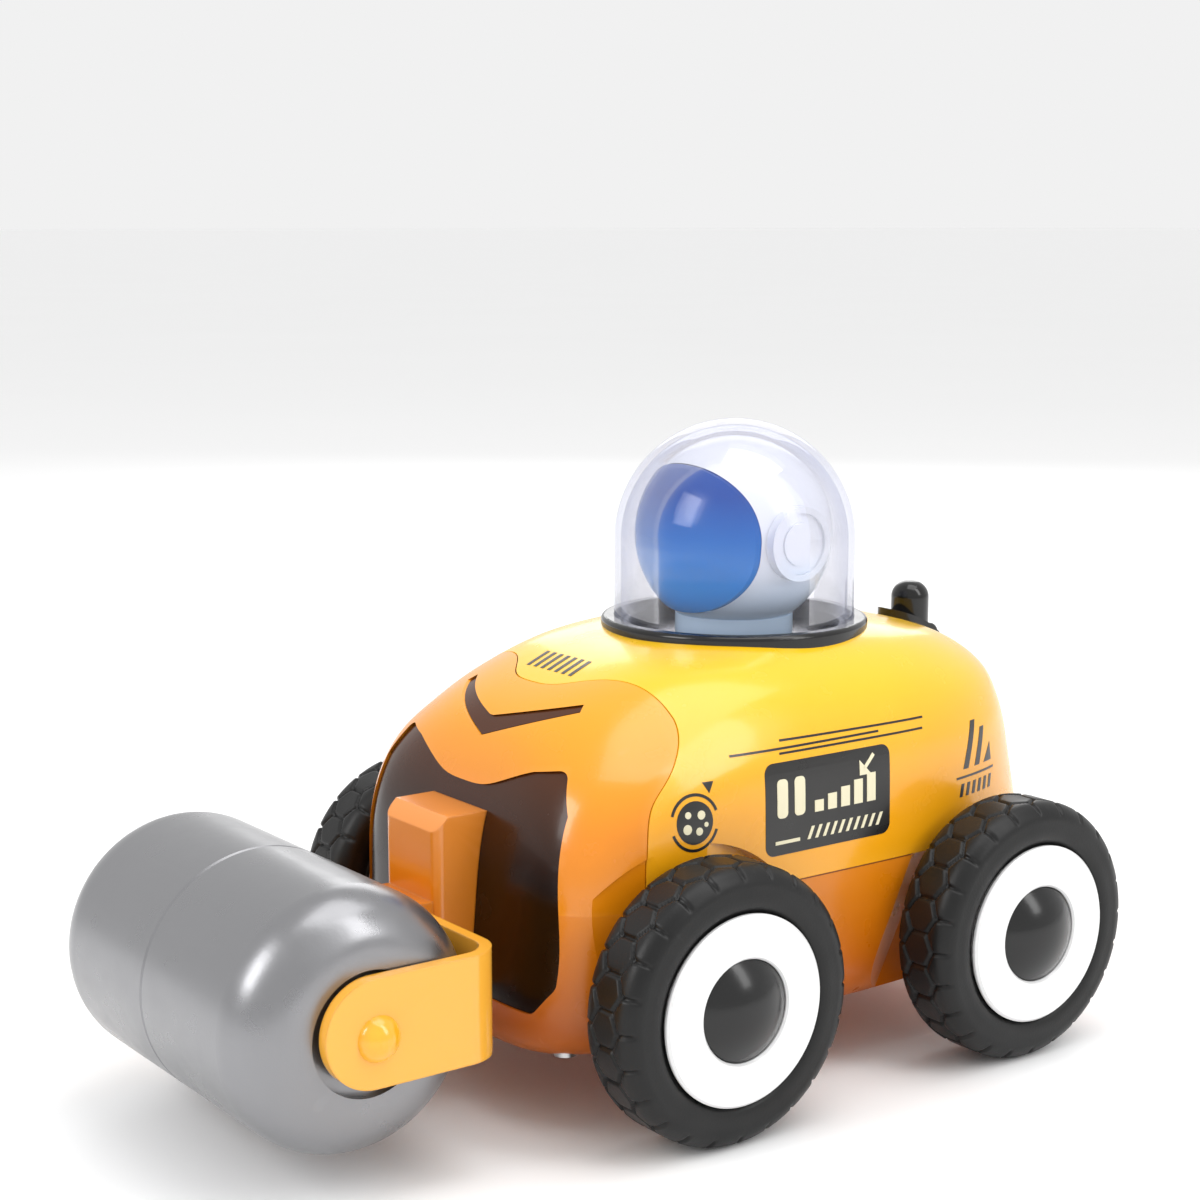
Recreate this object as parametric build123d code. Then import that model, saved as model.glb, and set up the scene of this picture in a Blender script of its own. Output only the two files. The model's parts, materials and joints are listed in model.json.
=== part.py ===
from build123d import *
import os
from math import acos, cos, degrees, pi, radians, sin, sqrt, tan

# Toy road roller, millimetres. +Z up, nose towards -Y, +X is the vehicle's own left side.
# Origin: on the ground, under the middle of the bounding box.

# ---------------------------------------------------------------- driving dimensions
TYRE_R = 28.0
TYRE_W = 15.4
TYRE_SHOULDER = 4.0
TYRE_INNER_X = 46.8
AXLE_Z = TYRE_R
FRONT_AXLE_Y = -11.5
REAR_AXLE_Y = 69.6
RIM_SEAT_R = 18.0
RING_R = 19.1
HUB_CAP_R = 10.2
HUB_CAP_RISE = 3.9
FRONT_BORE_R = 2.0
REAR_BORE_R = 1.5
RING_FACE_X = TYRE_INNER_X + TYRE_W + 0.7
CAP_SEAT_DEPTH = 2.6
BARREL_R = 16.2
HUB_R = 4.5

WALL = 2.0
SEAM_Z = 45.0
SEAM_GAP = 0.3
FLOOR_Z = 14.0
FLOOR_TOP_Z = FLOOR_Z + WALL
ROOF_Z = 90.0

CAB_Y = 36.5
DOME_R = 26.5
DOME_WALL = 1.5
DOME_CENTRE_Z = 108.5
COLLAR_R = 29.4
COLLAR_BORE_R = 24.7
COLLAR_STEP_Z = 90.6
COLLAR_TOP_Z = 91.8
CAB_FLOOR_Z = 88.0
HELMET_R = 21.5
HELMET_Z = 109.8
HELMET_WALL = 1.6
VISOR_HALF = (19.6, 16.2)
VISOR_POWER = 2.15
VISOR_RISE = 0.5
EAR_R = 8.0
EAR_OUTER_X = 22.4
NECK_R = 13.0
LIGHT_R = 2.5

ROLLER_Y = -82.3
ROLLER_Z = 32.8
ROLLER_R = 25.3
ROLLER_HALF = 42.0
ROLLER_ROUND = 11.0
ROLLER_RECESS_R = 12.0
ROLLER_RECESS = 2.0
ROLLER_AXLE_R = 2.0
PIN_CAP_R = 4.4
PIN_CAP_RISE = 3.2

YOKE_OUTER_X = 45.0
YOKE_T = 2.5
YOKE_REAR_Y = -54.3
YOKE_Z = 33.8
YOKE_HALF_H = 10.4
YOKE_END_Y = -82.8
YOKE_CORNER_R = 8.0
STRAP_SCREWS_Z = (29.0, 38.5)
STRAP_SCREW_HEAD_T = 1.4

POST_HALF_W = 10.0
POST_FRONT_Y = -48.0
POST_TOP_Z = 60.3
POST_BOTTOM_Z = 24.6
POST_SCREWS_Z = (31.0, 50.0)
POST_SCREW_HEAD_Y = -33.8

BEACON_Y = 90.2
BEACON_R = 4.4
BEACON_TOP_Z = 94.2
BEACON_BASE_Y = 90.6
BEACON_BASE_HALF = (5.4, 8.7)
BEACON_BASE_T = 1.5
BEACON_STEM_R = 2.0

KING_X = 43.0
KING_PIN_R = 1.25
KING_BORE_R = 1.3
STEER_LIMIT = 15.0
STEER_ARM = 12.0
STEER_BAR_Z = (23.1, 25.6)
STEER_PIN_R = 1.0
STEER_BAR_HALF = 45.3
TYRE_CLEARANCE = 0.8
PLATE_LOW_Z = (16.0, 18.6)
PLATE_HIGH_Z = (36.4, 38.8)
KNUCKLE_R = 3.2
STUB_R = 1.95
STUB_END_X = TYRE_INNER_X + 11.8
STEER_MOTOR_Y = (-18.6, 0.2)

GEAR_MODULE = 0.5
PRESSURE_ANGLE = 25.0
TOOTH_ADDENDUM = 0.8
TOOTH_DEDENDUM = 1.05
BACKLASH = 0.1
AXLE_GEAR_TEETH = 32
COMPOUND_SMALL_TEETH = 10
COMPOUND_LARGE_TEETH = 28
DRIVE_PINION_TEETH = 10
STEER_PINION_TEETH = 12
COMPOUND_ANGLE = 140.0
DRIVE_PINION_ANGLE = 100.0
CENTRE_SLACK = 0.05
SMALL_GEAR_X = (23.0, 26.5)
LARGE_GEAR_X = (27.5, 30.5)
FRAME_PLATES_X = ((19.5, 21.5), (32.0, 34.0))
MOTOR_X = (-5.5, 19.5)
BUSH_R = 3.4

CELL_R = 7.25
CELL_L = 49.0
CELL_Z = 25.2
CELL_Y = 3.6
BAY_X = 23.2
BAY_Y = (2.0, 56.5)
BAY_TOP_Z = 33.4
BAY_WALL = 1.3
BOARD_Z = 37.2
BOARD_T = 1.6
STAND_X = 20.0
STAND_Y = (8.0, 44.0)
SWITCH_AT = (-28.9, 12.0)
SWITCH_SLOT_X = (SWITCH_AT[0] - 2.2, SWITCH_AT[0] + 2.2)
SWITCH_SLOT_Y = (SWITCH_AT[1] - 4.2, SWITCH_AT[1] + 4.2)

SCREW_R = 1.3
SCREW_BORE_R = 1.5
SCREW_HEAD_R = 2.4
SCREW_HEAD_T = 1.8
POST_R = 3.2
BODY_SCREWS = ((33.0, 27.0), (28.0, 88.0), (31.0, -31.5))
SCREW_TOP_Z = 55.0

# Body levels: height, half width, reach in front of the cab axis and squareness of that end,
# reach behind the cab axis and squareness of that end.
LEVELS = (
    (14.0, 36.0, 72.0, 5.0, 63.0, 2.8),
    (15.2, 39.5, 75.3, 5.5, 66.5, 2.7),
    (18.5, 42.4, 77.0, 6.0, 69.0, 2.6),
    (26.0, 44.2, 77.2, 6.5, 70.9, 2.6),
    (45.0, 45.0, 75.4, 7.0, 70.2, 2.6),
    (58.0, 45.0, 73.4, 6.5, 67.8, 2.5),
    (65.0, 44.8, 71.2, 5.4, 66.0, 2.5),
    (70.5, 44.2, 68.7, 4.2, 64.1, 2.5),
    (75.3, 43.0, 66.0, 3.2, 62.0, 2.5),
    (79.0, 41.4, 62.4, 2.8, 59.2, 2.5),
    (82.5, 38.8, 56.0, 2.7, 55.2, 2.4),
    (85.5, 35.2, 47.6, 2.9, 49.2, 2.4),
    (88.0, 31.0, 39.0, 3.0, 40.5, 2.4),
    (89.4, 27.6, 31.0, 3.0, 32.0, 2.4),
    (90.0, 24.0, 25.5, 2.6, 26.0, 2.4),
)
RING_POINTS = 48
VOID_POINTS = 24
MID_Z = (FLOOR_Z + ROOF_Z) / 2
HALF_HEIGHT = (ROOF_Z - FLOOR_Z) / 2

# Front mask: its edge from above as (x, y) for the left half, and from the side as (y, z).
MASK_EDGE_TOP = (
    (0, -18.1), (5, -17.7), (8, -16.5), (11, -14.3), (15, -11.3), (19, -9.3), (25, -7.8), (36, -7.4),
)
MASK_EDGE_SIDE = (
    (-7.4, 83), (-7.8, 78), (-10.6, 73.6), (-15.6, 68.6), (-19.0, 65.0), (-20.7, 59.4), (-21.3, 54),
)
# Grille panel outline from the front, left half, as (x, z).
PANEL_CHIN = ((0, 64.6), (7, 65.0), (14, 67.3), (21, 69.9))
PANEL_CORNER = (28.6, 71.2)
PANEL_SIDE = ((33.6, 63.5), (35.2, 51.0), (36.0, 40.0), (35.6, 30.0))
PANEL_BOTTOM = (31.0, 24.0)
PANEL_INSET = 0.5
PANEL_T = 2.0
FIT_GAP = 0.15
VENT_INSET = 0.3
# V vent outline from the front, left half, as (x, z).
VENT = ((0, 73.3), (20.6, 80.3), (19.4, 81.5), (0.6, 77.3), (0, 77.3))


# ---------------------------------------------------------------- helpers
def box(x, y, z):
    """Box from three (low, high) pairs."""
    size = [high - low for low, high in (x, y, z)]
    centre = [(high + low) / 2 for low, high in (x, y, z)]
    return Pos(*centre) * Box(*size)


def rod(axis, radius, low, high, across):
    """Cylinder along one axis from low to high; across holds its two other coordinates in X, Y, Z order."""
    middle = (low + high) / 2
    length = high - low
    if axis == "x":
        return Pos(middle, across[0], across[1]) * Rot(0, 90, 0) * Cylinder(radius, length)
    if axis == "y":
        return Pos(across[0], middle, across[1]) * Rot(90, 0, 0) * Cylinder(radius, length)
    return Pos(across[0], across[1], middle) * Cylinder(radius, length)


def both_sides(shape):
    """The shape and its mirror image across the middle plane."""
    return [shape, mirror(shape, about=Plane.YZ)]


def joined(shapes):
    """One shape made of several."""
    whole = shapes[0]
    for shape in shapes[1:]:
        whole = whole + shape
    return whole


def main_solid(shape):
    """The largest solid of a shape."""
    return max(shape.solids(), key=lambda solid: solid.volume)


def squircle(level, inset, count):
    """Closed outline of the body at one level, moved inwards by inset."""
    z, half_width, front, front_power, rear, rear_power = level
    height = MID_Z + (z - MID_Z) * (HALF_HEIGHT - inset) / HALF_HEIGHT
    points = []
    for step in range(count):
        angle = 2 * pi * step / count - pi / 2
        across = cos(angle)
        along = sin(angle)
        reach, power = (front, front_power) if along < 0 else (rear, rear_power)
        scale = (abs(across) ** power + abs(along) ** power) ** (-1 / power)
        x = (half_width - inset) * across * scale
        y = CAB_Y + (reach - inset) * along * scale
        points.append(Vector(x, y, height))
    return Wire(Edge.make_spline(points, periodic=True))


def hull(inset, count=RING_POINTS):
    """The whole body form as a solid, its skin moved inwards by inset; count is the points per outline."""
    return Solid.make_loft([squircle(level, inset, count) for level in LEVELS])


def mask_zone(shift):
    """Space of the front mask, its rear boundary moved back by shift."""
    left = [(x, y + shift) for x, y in MASK_EDGE_TOP] + [(60, MASK_EDGE_TOP[-1][1] + shift)]
    right = [(-x, y) for x, y in reversed(left[1:])]
    far = -90
    top_edge = Spline(*(right + left))
    top_sides = Polyline((60, left[-1][1]), (60, far), (-60, far), (-60, left[-1][1]))
    from_above = extrude(make_face(top_edge + top_sides), amount=60)
    side_points = [(y + shift, z) for y, z in MASK_EDGE_SIDE]
    high = (side_points[0][0], 95)
    low = (side_points[-1][0], 30)
    side_edge = Spline(*side_points)
    side_lines = Polyline(side_points[-1], low, (far, low[1]), (far, high[1]), high, side_points[0])
    side_face = Plane.YZ * make_face(side_edge + side_lines)
    from_side = extrude(side_face, amount=60, both=True)
    return (Pos(0, 0, SEAM_Z - 10) * from_above) & from_side


def panel_zone(gap):
    """Prism of the grille panel outline, drawn in by gap towards its middle."""
    middle = (PANEL_CORNER[1] + PANEL_BOTTOM[1]) / 2
    chin_half = [(x, z - middle) for x, z in PANEL_CHIN]
    left_side = [(x, z - middle) for x, z in PANEL_SIDE]
    right_side = [(-x, z) for x, z in left_side]
    chin = [(-x, z) for x, z in reversed(chin_half[1:])] + chin_half
    corner_z = PANEL_CORNER[1] - middle
    bottom_z = PANEL_BOTTOM[1] - middle
    top = Spline(*chin)
    lines = Polyline(chin[-1], (PANEL_CORNER[0], corner_z), left_side[0])
    side = Spline(*left_side)
    base = Polyline(left_side[-1], (PANEL_BOTTOM[0], bottom_z), (-PANEL_BOTTOM[0], bottom_z), right_side[-1])
    other_side = Spline(*reversed(right_side))
    other_lines = Polyline(right_side[0], (-PANEL_CORNER[0], corner_z), chin[0])
    face = make_face(top + lines + side + base + other_side + other_lines)
    corners = [v for v in face.vertices() if v.Z == 0]
    sharp = [v for v in corners if abs(abs(v.X) - PANEL_CORNER[0]) < 0.1]
    face = fillet(sharp, 3.0)
    low = [v for v in face.vertices() if v.Y < left_side[-1][1] + 0.1]
    face = fillet(low, 3.2)
    face = Pos(0, middle) * scale(face, by=1 - gap / PANEL_SIDE[2][0])
    return extrude(Plane.XZ * face, amount=80)


def vent_zone(gap):
    """Prism of the V vent outline, drawn in by gap."""
    left = list(VENT)
    right = [(-x, z) for x, z in reversed(left[1:-1])]
    face = make_face(Polyline(*(left + right), close=True))
    if gap:
        face = offset(face, amount=-gap, kind=Kind.INTERSECTION)
    return extrude(Plane.XZ * face, amount=80)


def steering_pockets(extra):
    """Space swept by the front tyres as they steer, widened by extra."""
    radius = TYRE_R + TYRE_CLEARANCE + extra
    inner = TYRE_INNER_X - KING_X - TYRE_CLEARANCE - extra
    tyre = rod("x", radius, inner, inner + 25, (0, 0))
    swept = []
    for turn in (-1, -0.5, 0, 0.5, 1):
        swept.append(Pos(KING_X, FRONT_AXLE_Y, AXLE_Z) * Rot(0, 0, turn * STEER_LIMIT) * tyre)
    return both_sides(joined(swept))


def rear_recesses(extra):
    """Recess beside each rear wheel, below the seam; its front edge leans forward towards the ground."""
    outlines = []
    for z, lean in ((SEAM_Z, 0.0), (FLOOR_Z - 4, -18.0)):
        start = REAR_AXLE_Y - 23.6 + lean
        corners = [
            (46.5 - extra, start - extra),
            (39.0 - extra, start + 14 - extra),
            (39.0 - extra, REAR_AXLE_Y + 24),
            (46.5 - extra, REAR_AXLE_Y + 34),
            (60, REAR_AXLE_Y + 34),
            (60, start - extra),
        ]
        outlines.append(Wire.make_polygon([Vector(x, y, z) for x, y in corners], close=True))
    return both_sides(Solid.make_loft(outlines, ruled=True))


def involute(radius, base):
    """Angle rolled by the involute at a radius."""
    angle = acos(min(1.0, base / radius))
    return tan(angle) - angle


def gear_face(teeth, tooth_at):
    """Spur gear outline with one tooth centred on the angle tooth_at, in degrees."""
    pitch = GEAR_MODULE * teeth / 2
    base = pitch * cos(radians(PRESSURE_ANGLE))
    tip = pitch + TOOTH_ADDENDUM * GEAR_MODULE
    root = pitch - TOOTH_DEDENDUM * GEAR_MODULE
    half = pi / (2 * teeth) - BACKLASH / (4 * pitch) + involute(pitch, base)
    start = max(base, root)
    radii = [start + (tip - start) * step / 5 for step in range(6)]
    flank = [(radius, half - involute(radius, base)) for radius in radii]
    if root < start:
        flank.insert(0, (root, flank[0][1]))
    points = []
    for tooth in range(teeth):
        middle = radians(tooth_at) + 2 * pi * tooth / teeth
        for radius, angle in flank:
            points.append((radius * cos(middle - angle), radius * sin(middle - angle)))
        for radius, angle in reversed(flank):
            points.append((radius * cos(middle + angle), radius * sin(middle + angle)))
    return make_face(Polyline(*points, close=True))


def gear_along_x(teeth, tooth_at, low, high, centre):
    """Spur gear with its axis along X at centre (y, z)."""
    plane = Plane(origin=(low, centre[0], centre[1]), x_dir=(0, 1, 0), z_dir=(1, 0, 0))
    return extrude(plane * gear_face(teeth, tooth_at), amount=high - low)


def turned(points, centre):
    """Solid of revolution about the X-parallel line through centre (y, z); points are (x, radius)."""
    face = make_face(Polyline(*points, close=True))
    solid = revolve(face, axis=Axis.X)
    return Pos(0, centre[0], centre[1]) * solid


def quarter(centre, radius, first, last):
    """Arc about a centre between two angles in degrees, bulging away from it."""
    ends = [radians(angle) for angle in (first, (first + last) / 2, last)]
    return ThreePointArc(*[(centre[0] + radius * cos(a), centre[1] + radius * sin(a)) for a in ends])


def dome_points(base_x, base_r, rise):
    """Outline of a shallow dome as (x, radius), from its rim to a small flat at its top."""
    ball_r = (base_r ** 2 + rise ** 2) / (2 * rise)
    points = []
    for step in range(7):
        radius = base_r + (0.3 - base_r) * step / 6
        points.append((base_x + rise - ball_r + sqrt(ball_r ** 2 - radius ** 2), radius))
    return points


# ---------------------------------------------------------------- body
def body_skins():
    """Outer form and inner void of the body, with the wheel clearances already in both."""
    outer = hull(0)
    inner = hull(WALL, VOID_POINTS)
    for pocket in steering_pockets(0) + rear_recesses(0):
        outer = outer - pocket
    for pocket in steering_pockets(WALL) + rear_recesses(WALL):
        inner = inner - pocket
    return outer, inner


def upper_shell(skin, form):
    top = skin & box((-80, 80), (-130, 130), (SEAM_Z, 120))
    top = top - mask_zone(SEAM_GAP)
    top = top - rod("z", COLLAR_BORE_R, 60, 120, (0, CAB_Y))
    top = main_solid(top)
    bosses = []
    for x, y in BODY_SCREWS[:2]:
        boss = rod("z", POST_R, SEAM_Z, 100, (x, y)) & form
        bosses += both_sides(boss)
    top = joined([top] + bosses)
    for x, y in BODY_SCREWS[:2]:
        for hole in both_sides(rod("z", SCREW_R, SEAM_Z - 1, SCREW_TOP_Z, (x, y))):
            top = top - hole
    stub = rod("z", BEACON_STEM_R, 60, 100, (0, BEACON_Y))
    return main_solid(top - stub)


def front_mask(skin, form):
    zone = mask_zone(0) & box((-80, 80), (-130, 130), (SEAM_Z, 120))
    mask = main_solid(skin & zone)
    x, y = BODY_SCREWS[2]
    boss = rod("z", POST_R - 0.4, SEAM_Z, 100, (x, y)) & form
    mask = joined([mask] + both_sides(boss))
    for hole in both_sides(rod("z", SCREW_R, SEAM_Z - 1, SCREW_TOP_Z, (x, y))):
        mask = mask - hole
    mask = mask - panel_zone(0) - vent_zone(0)
    return main_solid(mask)


def lower_chassis(skin, form):
    tub = main_solid(skin & box((-80, 80), (-130, 130), (0, SEAM_Z)))
    posts = []
    for x, y in BODY_SCREWS:
        radius = POST_R - 0.4 if y < 0 else POST_R
        posts += both_sides(rod("z", radius, FLOOR_Z, SEAM_Z, (x, y)) & form)
    bay_y = (BAY_Y[0] - BAY_WALL, BAY_Y[1] + BAY_WALL)
    bay = box((-BAY_X - BAY_WALL, BAY_X + BAY_WALL), bay_y, (FLOOR_Z, BAY_TOP_Z + BAY_WALL))
    stands = [rod("z", 1.8, BAY_TOP_Z, BOARD_Z, (x, y)) for x in (-STAND_X, STAND_X) for y in STAND_Y]
    door_boss = rod("z", 3.0, FLOOR_Z, 26, (0, BAY_Y[1] + 4.2))
    tub = joined([tub, bay, door_boss] + posts + stands)
    tub = tub - box((-BAY_X, BAY_X), BAY_Y, (FLOOR_Z - 1, BAY_TOP_Z))
    tub = tub - door_zone(FIT_GAP)
    tub = tub - rod("z", SCREW_R, FLOOR_Z - 1, 25, (0, BAY_Y[1] + 4.2))
    for x, y in BODY_SCREWS:
        for sign in (-1, 1):
            tub = tub - rod("z", SCREW_BORE_R, FLOOR_Z - 1, SEAM_Z + 1, (sign * x, y))
            head_top = FLOOR_Z + SCREW_HEAD_T + 0.4
            tub = tub - rod("z", SCREW_HEAD_R + 0.3, FLOOR_Z - 2, head_top, (sign * x, y))
    window = box((34, 60), (FRONT_AXLE_Y - 17.5, FRONT_AXLE_Y + 9.5), (FLOOR_TOP_Z + 0.8, 39.0))
    for opening in both_sides(window):
        tub = tub - opening
    for hole in both_sides(rod("x", BUSH_R, 30, 60, (REAR_AXLE_Y, AXLE_Z))):
        tub = tub - hole
    tub = tub - box(SWITCH_SLOT_X, SWITCH_SLOT_Y, (FLOOR_Z - 1, FLOOR_TOP_Z + 1))
    tub = tub - panel_zone(0)
    return main_solid(tub)


def door_zone(gap):
    """Outline of the battery door plate, widened by gap."""
    half_x = BAY_X + 1.2 + gap
    levels = (FLOOR_Z - gap, FLOOR_Z + 1.2)
    plate = box((-half_x, half_x), (BAY_Y[0] - 1 - gap, BAY_Y[1] + 1 + gap), levels)
    tab = box((-5 - gap, 5 + gap), (BAY_Y[1], BAY_Y[1] + 8 + gap), levels)
    return plate + tab


def grille_panel():
    """Inset panel across mask and chassis."""
    front = box((-50, 50), (-60, 0), (0, 100))
    panel = (hull(PANEL_INSET) & front & panel_zone(FIT_GAP)) - hull(PANEL_INSET + PANEL_T, VOID_POINTS)
    for z in POST_SCREWS_Z:
        panel = panel - rod("y", SCREW_R, -60, 0, (0, z))
    return main_solid(panel)


def vent_insert():
    """Strip set below the surface in the V-shaped slot of the mask."""
    front = box((-50, 50), (-60, 10), (60, 100))
    strip = (hull(VENT_INSET) & front & vent_zone(FIT_GAP)) - hull(VENT_INSET + WALL, VOID_POINTS)
    return main_solid(strip)


# ---------------------------------------------------------------- cab
def cab_dome():
    """Clear bubble: a cylinder with a half ball on top, open below."""
    inner_r = DOME_R - DOME_WALL
    low = COLLAR_STEP_Z - DOME_CENTRE_Z
    crown = CenterArc((0, 0), DOME_R, 0, 90)
    under = CenterArc((0, 0), inner_r, 0, 90)
    walls = Polyline((DOME_R, 0), (DOME_R, low), (inner_r, low), (inner_r, 0))
    profile = make_face(crown + walls + under + Line((0, inner_r), (0, DOME_R)))
    return Pos(0, CAB_Y, DOME_CENTRE_Z) * revolve(Plane.XZ * profile, axis=Axis.Z)


def dome_collar(form):
    ring = rod("z", COLLAR_R, ROOF_Z - 8, COLLAR_TOP_Z, (0, CAB_Y))
    ring = fillet(ring.edges().group_by(Axis.Z)[-1], 1.0)
    ring = ring - rod("z", COLLAR_BORE_R, 60, 120, (0, CAB_Y))
    ring = ring - rod("z", DOME_R + 0.05, COLLAR_STEP_Z, 120, (0, CAB_Y))
    return main_solid(ring - form)


def cab_floor():
    tub = rod("z", COLLAR_BORE_R - 0.2, CAB_FLOOR_Z - 3.5, COLLAR_STEP_Z - 0.2, (0, CAB_Y))
    tub = tub - rod("z", COLLAR_BORE_R - 1.4, CAB_FLOOR_Z, 120, (0, CAB_Y))
    tub = tub - rod("z", COLLAR_BORE_R - 2.0, 60, CAB_FLOOR_Z - 1.5, (0, CAB_Y))
    flange = rod("z", COLLAR_BORE_R + 2.2, CAB_FLOOR_Z - 5.0, CAB_FLOOR_Z - 3.5, (0, CAB_Y))
    flange = flange - rod("z", COLLAR_BORE_R - 2.0, 60, 120, (0, CAB_Y))
    return tub + flange - rod("z", LIGHT_R, 60, 120, (0, CAB_Y))


def visor_zone(gap):
    """Prism of the visor outline in front of the helmet centre, drawn in by gap."""
    half_x, half_z = VISOR_HALF
    points = []
    for step in range(24):
        angle = 2 * pi * step / 24
        scale = (abs(cos(angle)) ** VISOR_POWER + abs(sin(angle)) ** VISOR_POWER) ** (-1 / VISOR_POWER)
        across = (half_x - gap) * cos(angle) * scale
        up = (half_z - gap) * sin(angle) * scale
        points.append(Vector(across, up, 0))
    face = Face(Wire(Edge.make_spline(points, periodic=True)))
    return Pos(0, CAB_Y, HELMET_Z) * extrude(Plane.XZ * face, amount=40)


def ball(radius):
    return Pos(0, CAB_Y, HELMET_Z) * Sphere(radius)


def helmet_shell():
    shell = ball(HELMET_R) - ball(HELMET_R - HELMET_WALL) - visor_zone(0)
    shell = shell - rod("z", NECK_R - 3.0, 60, HELMET_Z, (0, CAB_Y))
    return main_solid(shell)


def helmet_visor():
    sheet = ball(HELMET_R + VISOR_RISE) - ball(HELMET_R - HELMET_WALL)
    return main_solid(sheet & visor_zone(FIT_GAP))


def helmet_ears():
    """Round ear discs with a raised rim and boss, one each side; their backs follow the helmet."""
    back_r = HELMET_R + 0.15
    back = [(sqrt(back_r ** 2 - (EAR_R * step / 4) ** 2), EAR_R * step / 4) for step in range(5)]
    top = EAR_OUTER_X
    front = [
        (top, EAR_R),
        (top, EAR_R - 1.4),
        (top - 0.7, EAR_R - 1.4),
        (top - 0.7, EAR_R - 3.4),
        (top - 0.2, EAR_R - 3.4),
        (top - 0.2, 0),
    ]
    return both_sides(turned(back + front, (CAB_Y, HELMET_Z)))


def helmet_neck():
    neck = rod("z", NECK_R, CAB_FLOOR_Z, CAB_FLOOR_Z + 4.5, (0, CAB_Y))
    neck = neck - rod("z", NECK_R - 3.0, 60, 120, (0, CAB_Y)) - ball(HELMET_R)
    return main_solid(neck)


def cab_light():
    """Light with a domed lens, standing in the cab floor."""
    body = rod("z", LIGHT_R, CAB_FLOOR_Z - 3.0, CAB_FLOOR_Z + 4.0, (0, CAB_Y))
    return body + Pos(0, CAB_Y, CAB_FLOOR_Z + 4.0) * Sphere(LIGHT_R)


def beacon():
    """Round-topped stub, its stem through the roof."""
    stub = rod("z", BEACON_R, 70, BEACON_TOP_Z, (0, BEACON_Y))
    stub = fillet(stub.edges().group_by(Axis.Z)[-1], BEACON_R - 0.6)
    above = main_solid(stub - hull(-BEACON_BASE_T))
    low = above.bounding_box().min.Z + 0.5
    return above + rod("z", BEACON_STEM_R, 76, low + 2, (0, BEACON_Y))


def beacon_base(form):
    """Plate that follows the slope of the roof, with a small rear nub."""
    half_x, half_y = BEACON_BASE_HALF
    slot = Pos(0, BEACON_BASE_Y, 60) * SlotOverall(2 * half_y, 2 * half_x, rotation=90)
    outline = extrude(slot, amount=60)
    plate = (hull(-BEACON_BASE_T) - form) & outline
    nub = (Pos(0, BEACON_BASE_Y + half_y - 2.6, 81.5) * Sphere(2.0)) - form
    return main_solid(main_solid(plate) + main_solid(nub) - rod("z", BEACON_STEM_R, 60, 120, (0, BEACON_Y)))


# ---------------------------------------------------------------- roller and yoke
def roller_half(side):
    """Hollow half of the roller drum with its hub tube; side is +1 or -1."""
    flat = ROLLER_HALF - ROLLER_ROUND
    end_r = ROLLER_R - ROLLER_ROUND
    bore = ROLLER_AXLE_R + 0.05
    tube = ROLLER_AXLE_R + 2.5
    groove = 0.5
    deep = ROLLER_HALF - ROLLER_RECESS
    outer = Polyline((0, ROLLER_R - groove), (groove, ROLLER_R), (flat, ROLLER_R))
    outer_arc = quarter((flat, end_r), ROLLER_ROUND, 90, 0)
    inner_round = ROLLER_ROUND - WALL
    inner_turn = acos((deep - WALL - flat) / inner_round)
    inner_end = (deep - WALL, end_r + inner_round * sin(inner_turn))
    end = Polyline(
        (ROLLER_HALF, end_r),
        (ROLLER_HALF, ROLLER_RECESS_R),
        (deep, ROLLER_RECESS_R),
        (deep, tube),
        (ROLLER_HALF, tube),
        (ROLLER_HALF, bore),
        (0, bore),
        (0, tube),
        (deep - WALL, tube),
        inner_end,
    )
    inner_arc = quarter((flat, end_r), inner_round, degrees(inner_turn), 90)
    close = Polyline((flat, ROLLER_R - WALL), (0, ROLLER_R - WALL), (0, ROLLER_R - groove))
    profile = make_face(outer + outer_arc + end + inner_arc + close)
    half = Pos(0, ROLLER_Y, ROLLER_Z) * revolve(profile, axis=Axis.X)
    return half if side > 0 else mirror(half, about=Plane.YZ)


def roller_axle():
    return rod("x", ROLLER_AXLE_R, -YOKE_OUTER_X, YOKE_OUTER_X, (ROLLER_Y, ROLLER_Z))


def roller_pin_caps():
    """Domed cap on each end of the roller axle."""
    dome = Spline(*dome_points(YOKE_OUTER_X, PIN_CAP_R, PIN_CAP_RISE))
    top_x, top_r = dome_points(YOKE_OUTER_X, PIN_CAP_R, PIN_CAP_RISE)[-1]
    rest = Polyline((top_x, top_r), (top_x, 0), (YOKE_OUTER_X, 0), (YOKE_OUTER_X, PIN_CAP_R))
    cap = revolve(make_face(dome + rest), axis=Axis.X)
    return both_sides(Pos(0, ROLLER_Y, ROLLER_Z) * cap)


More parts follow.
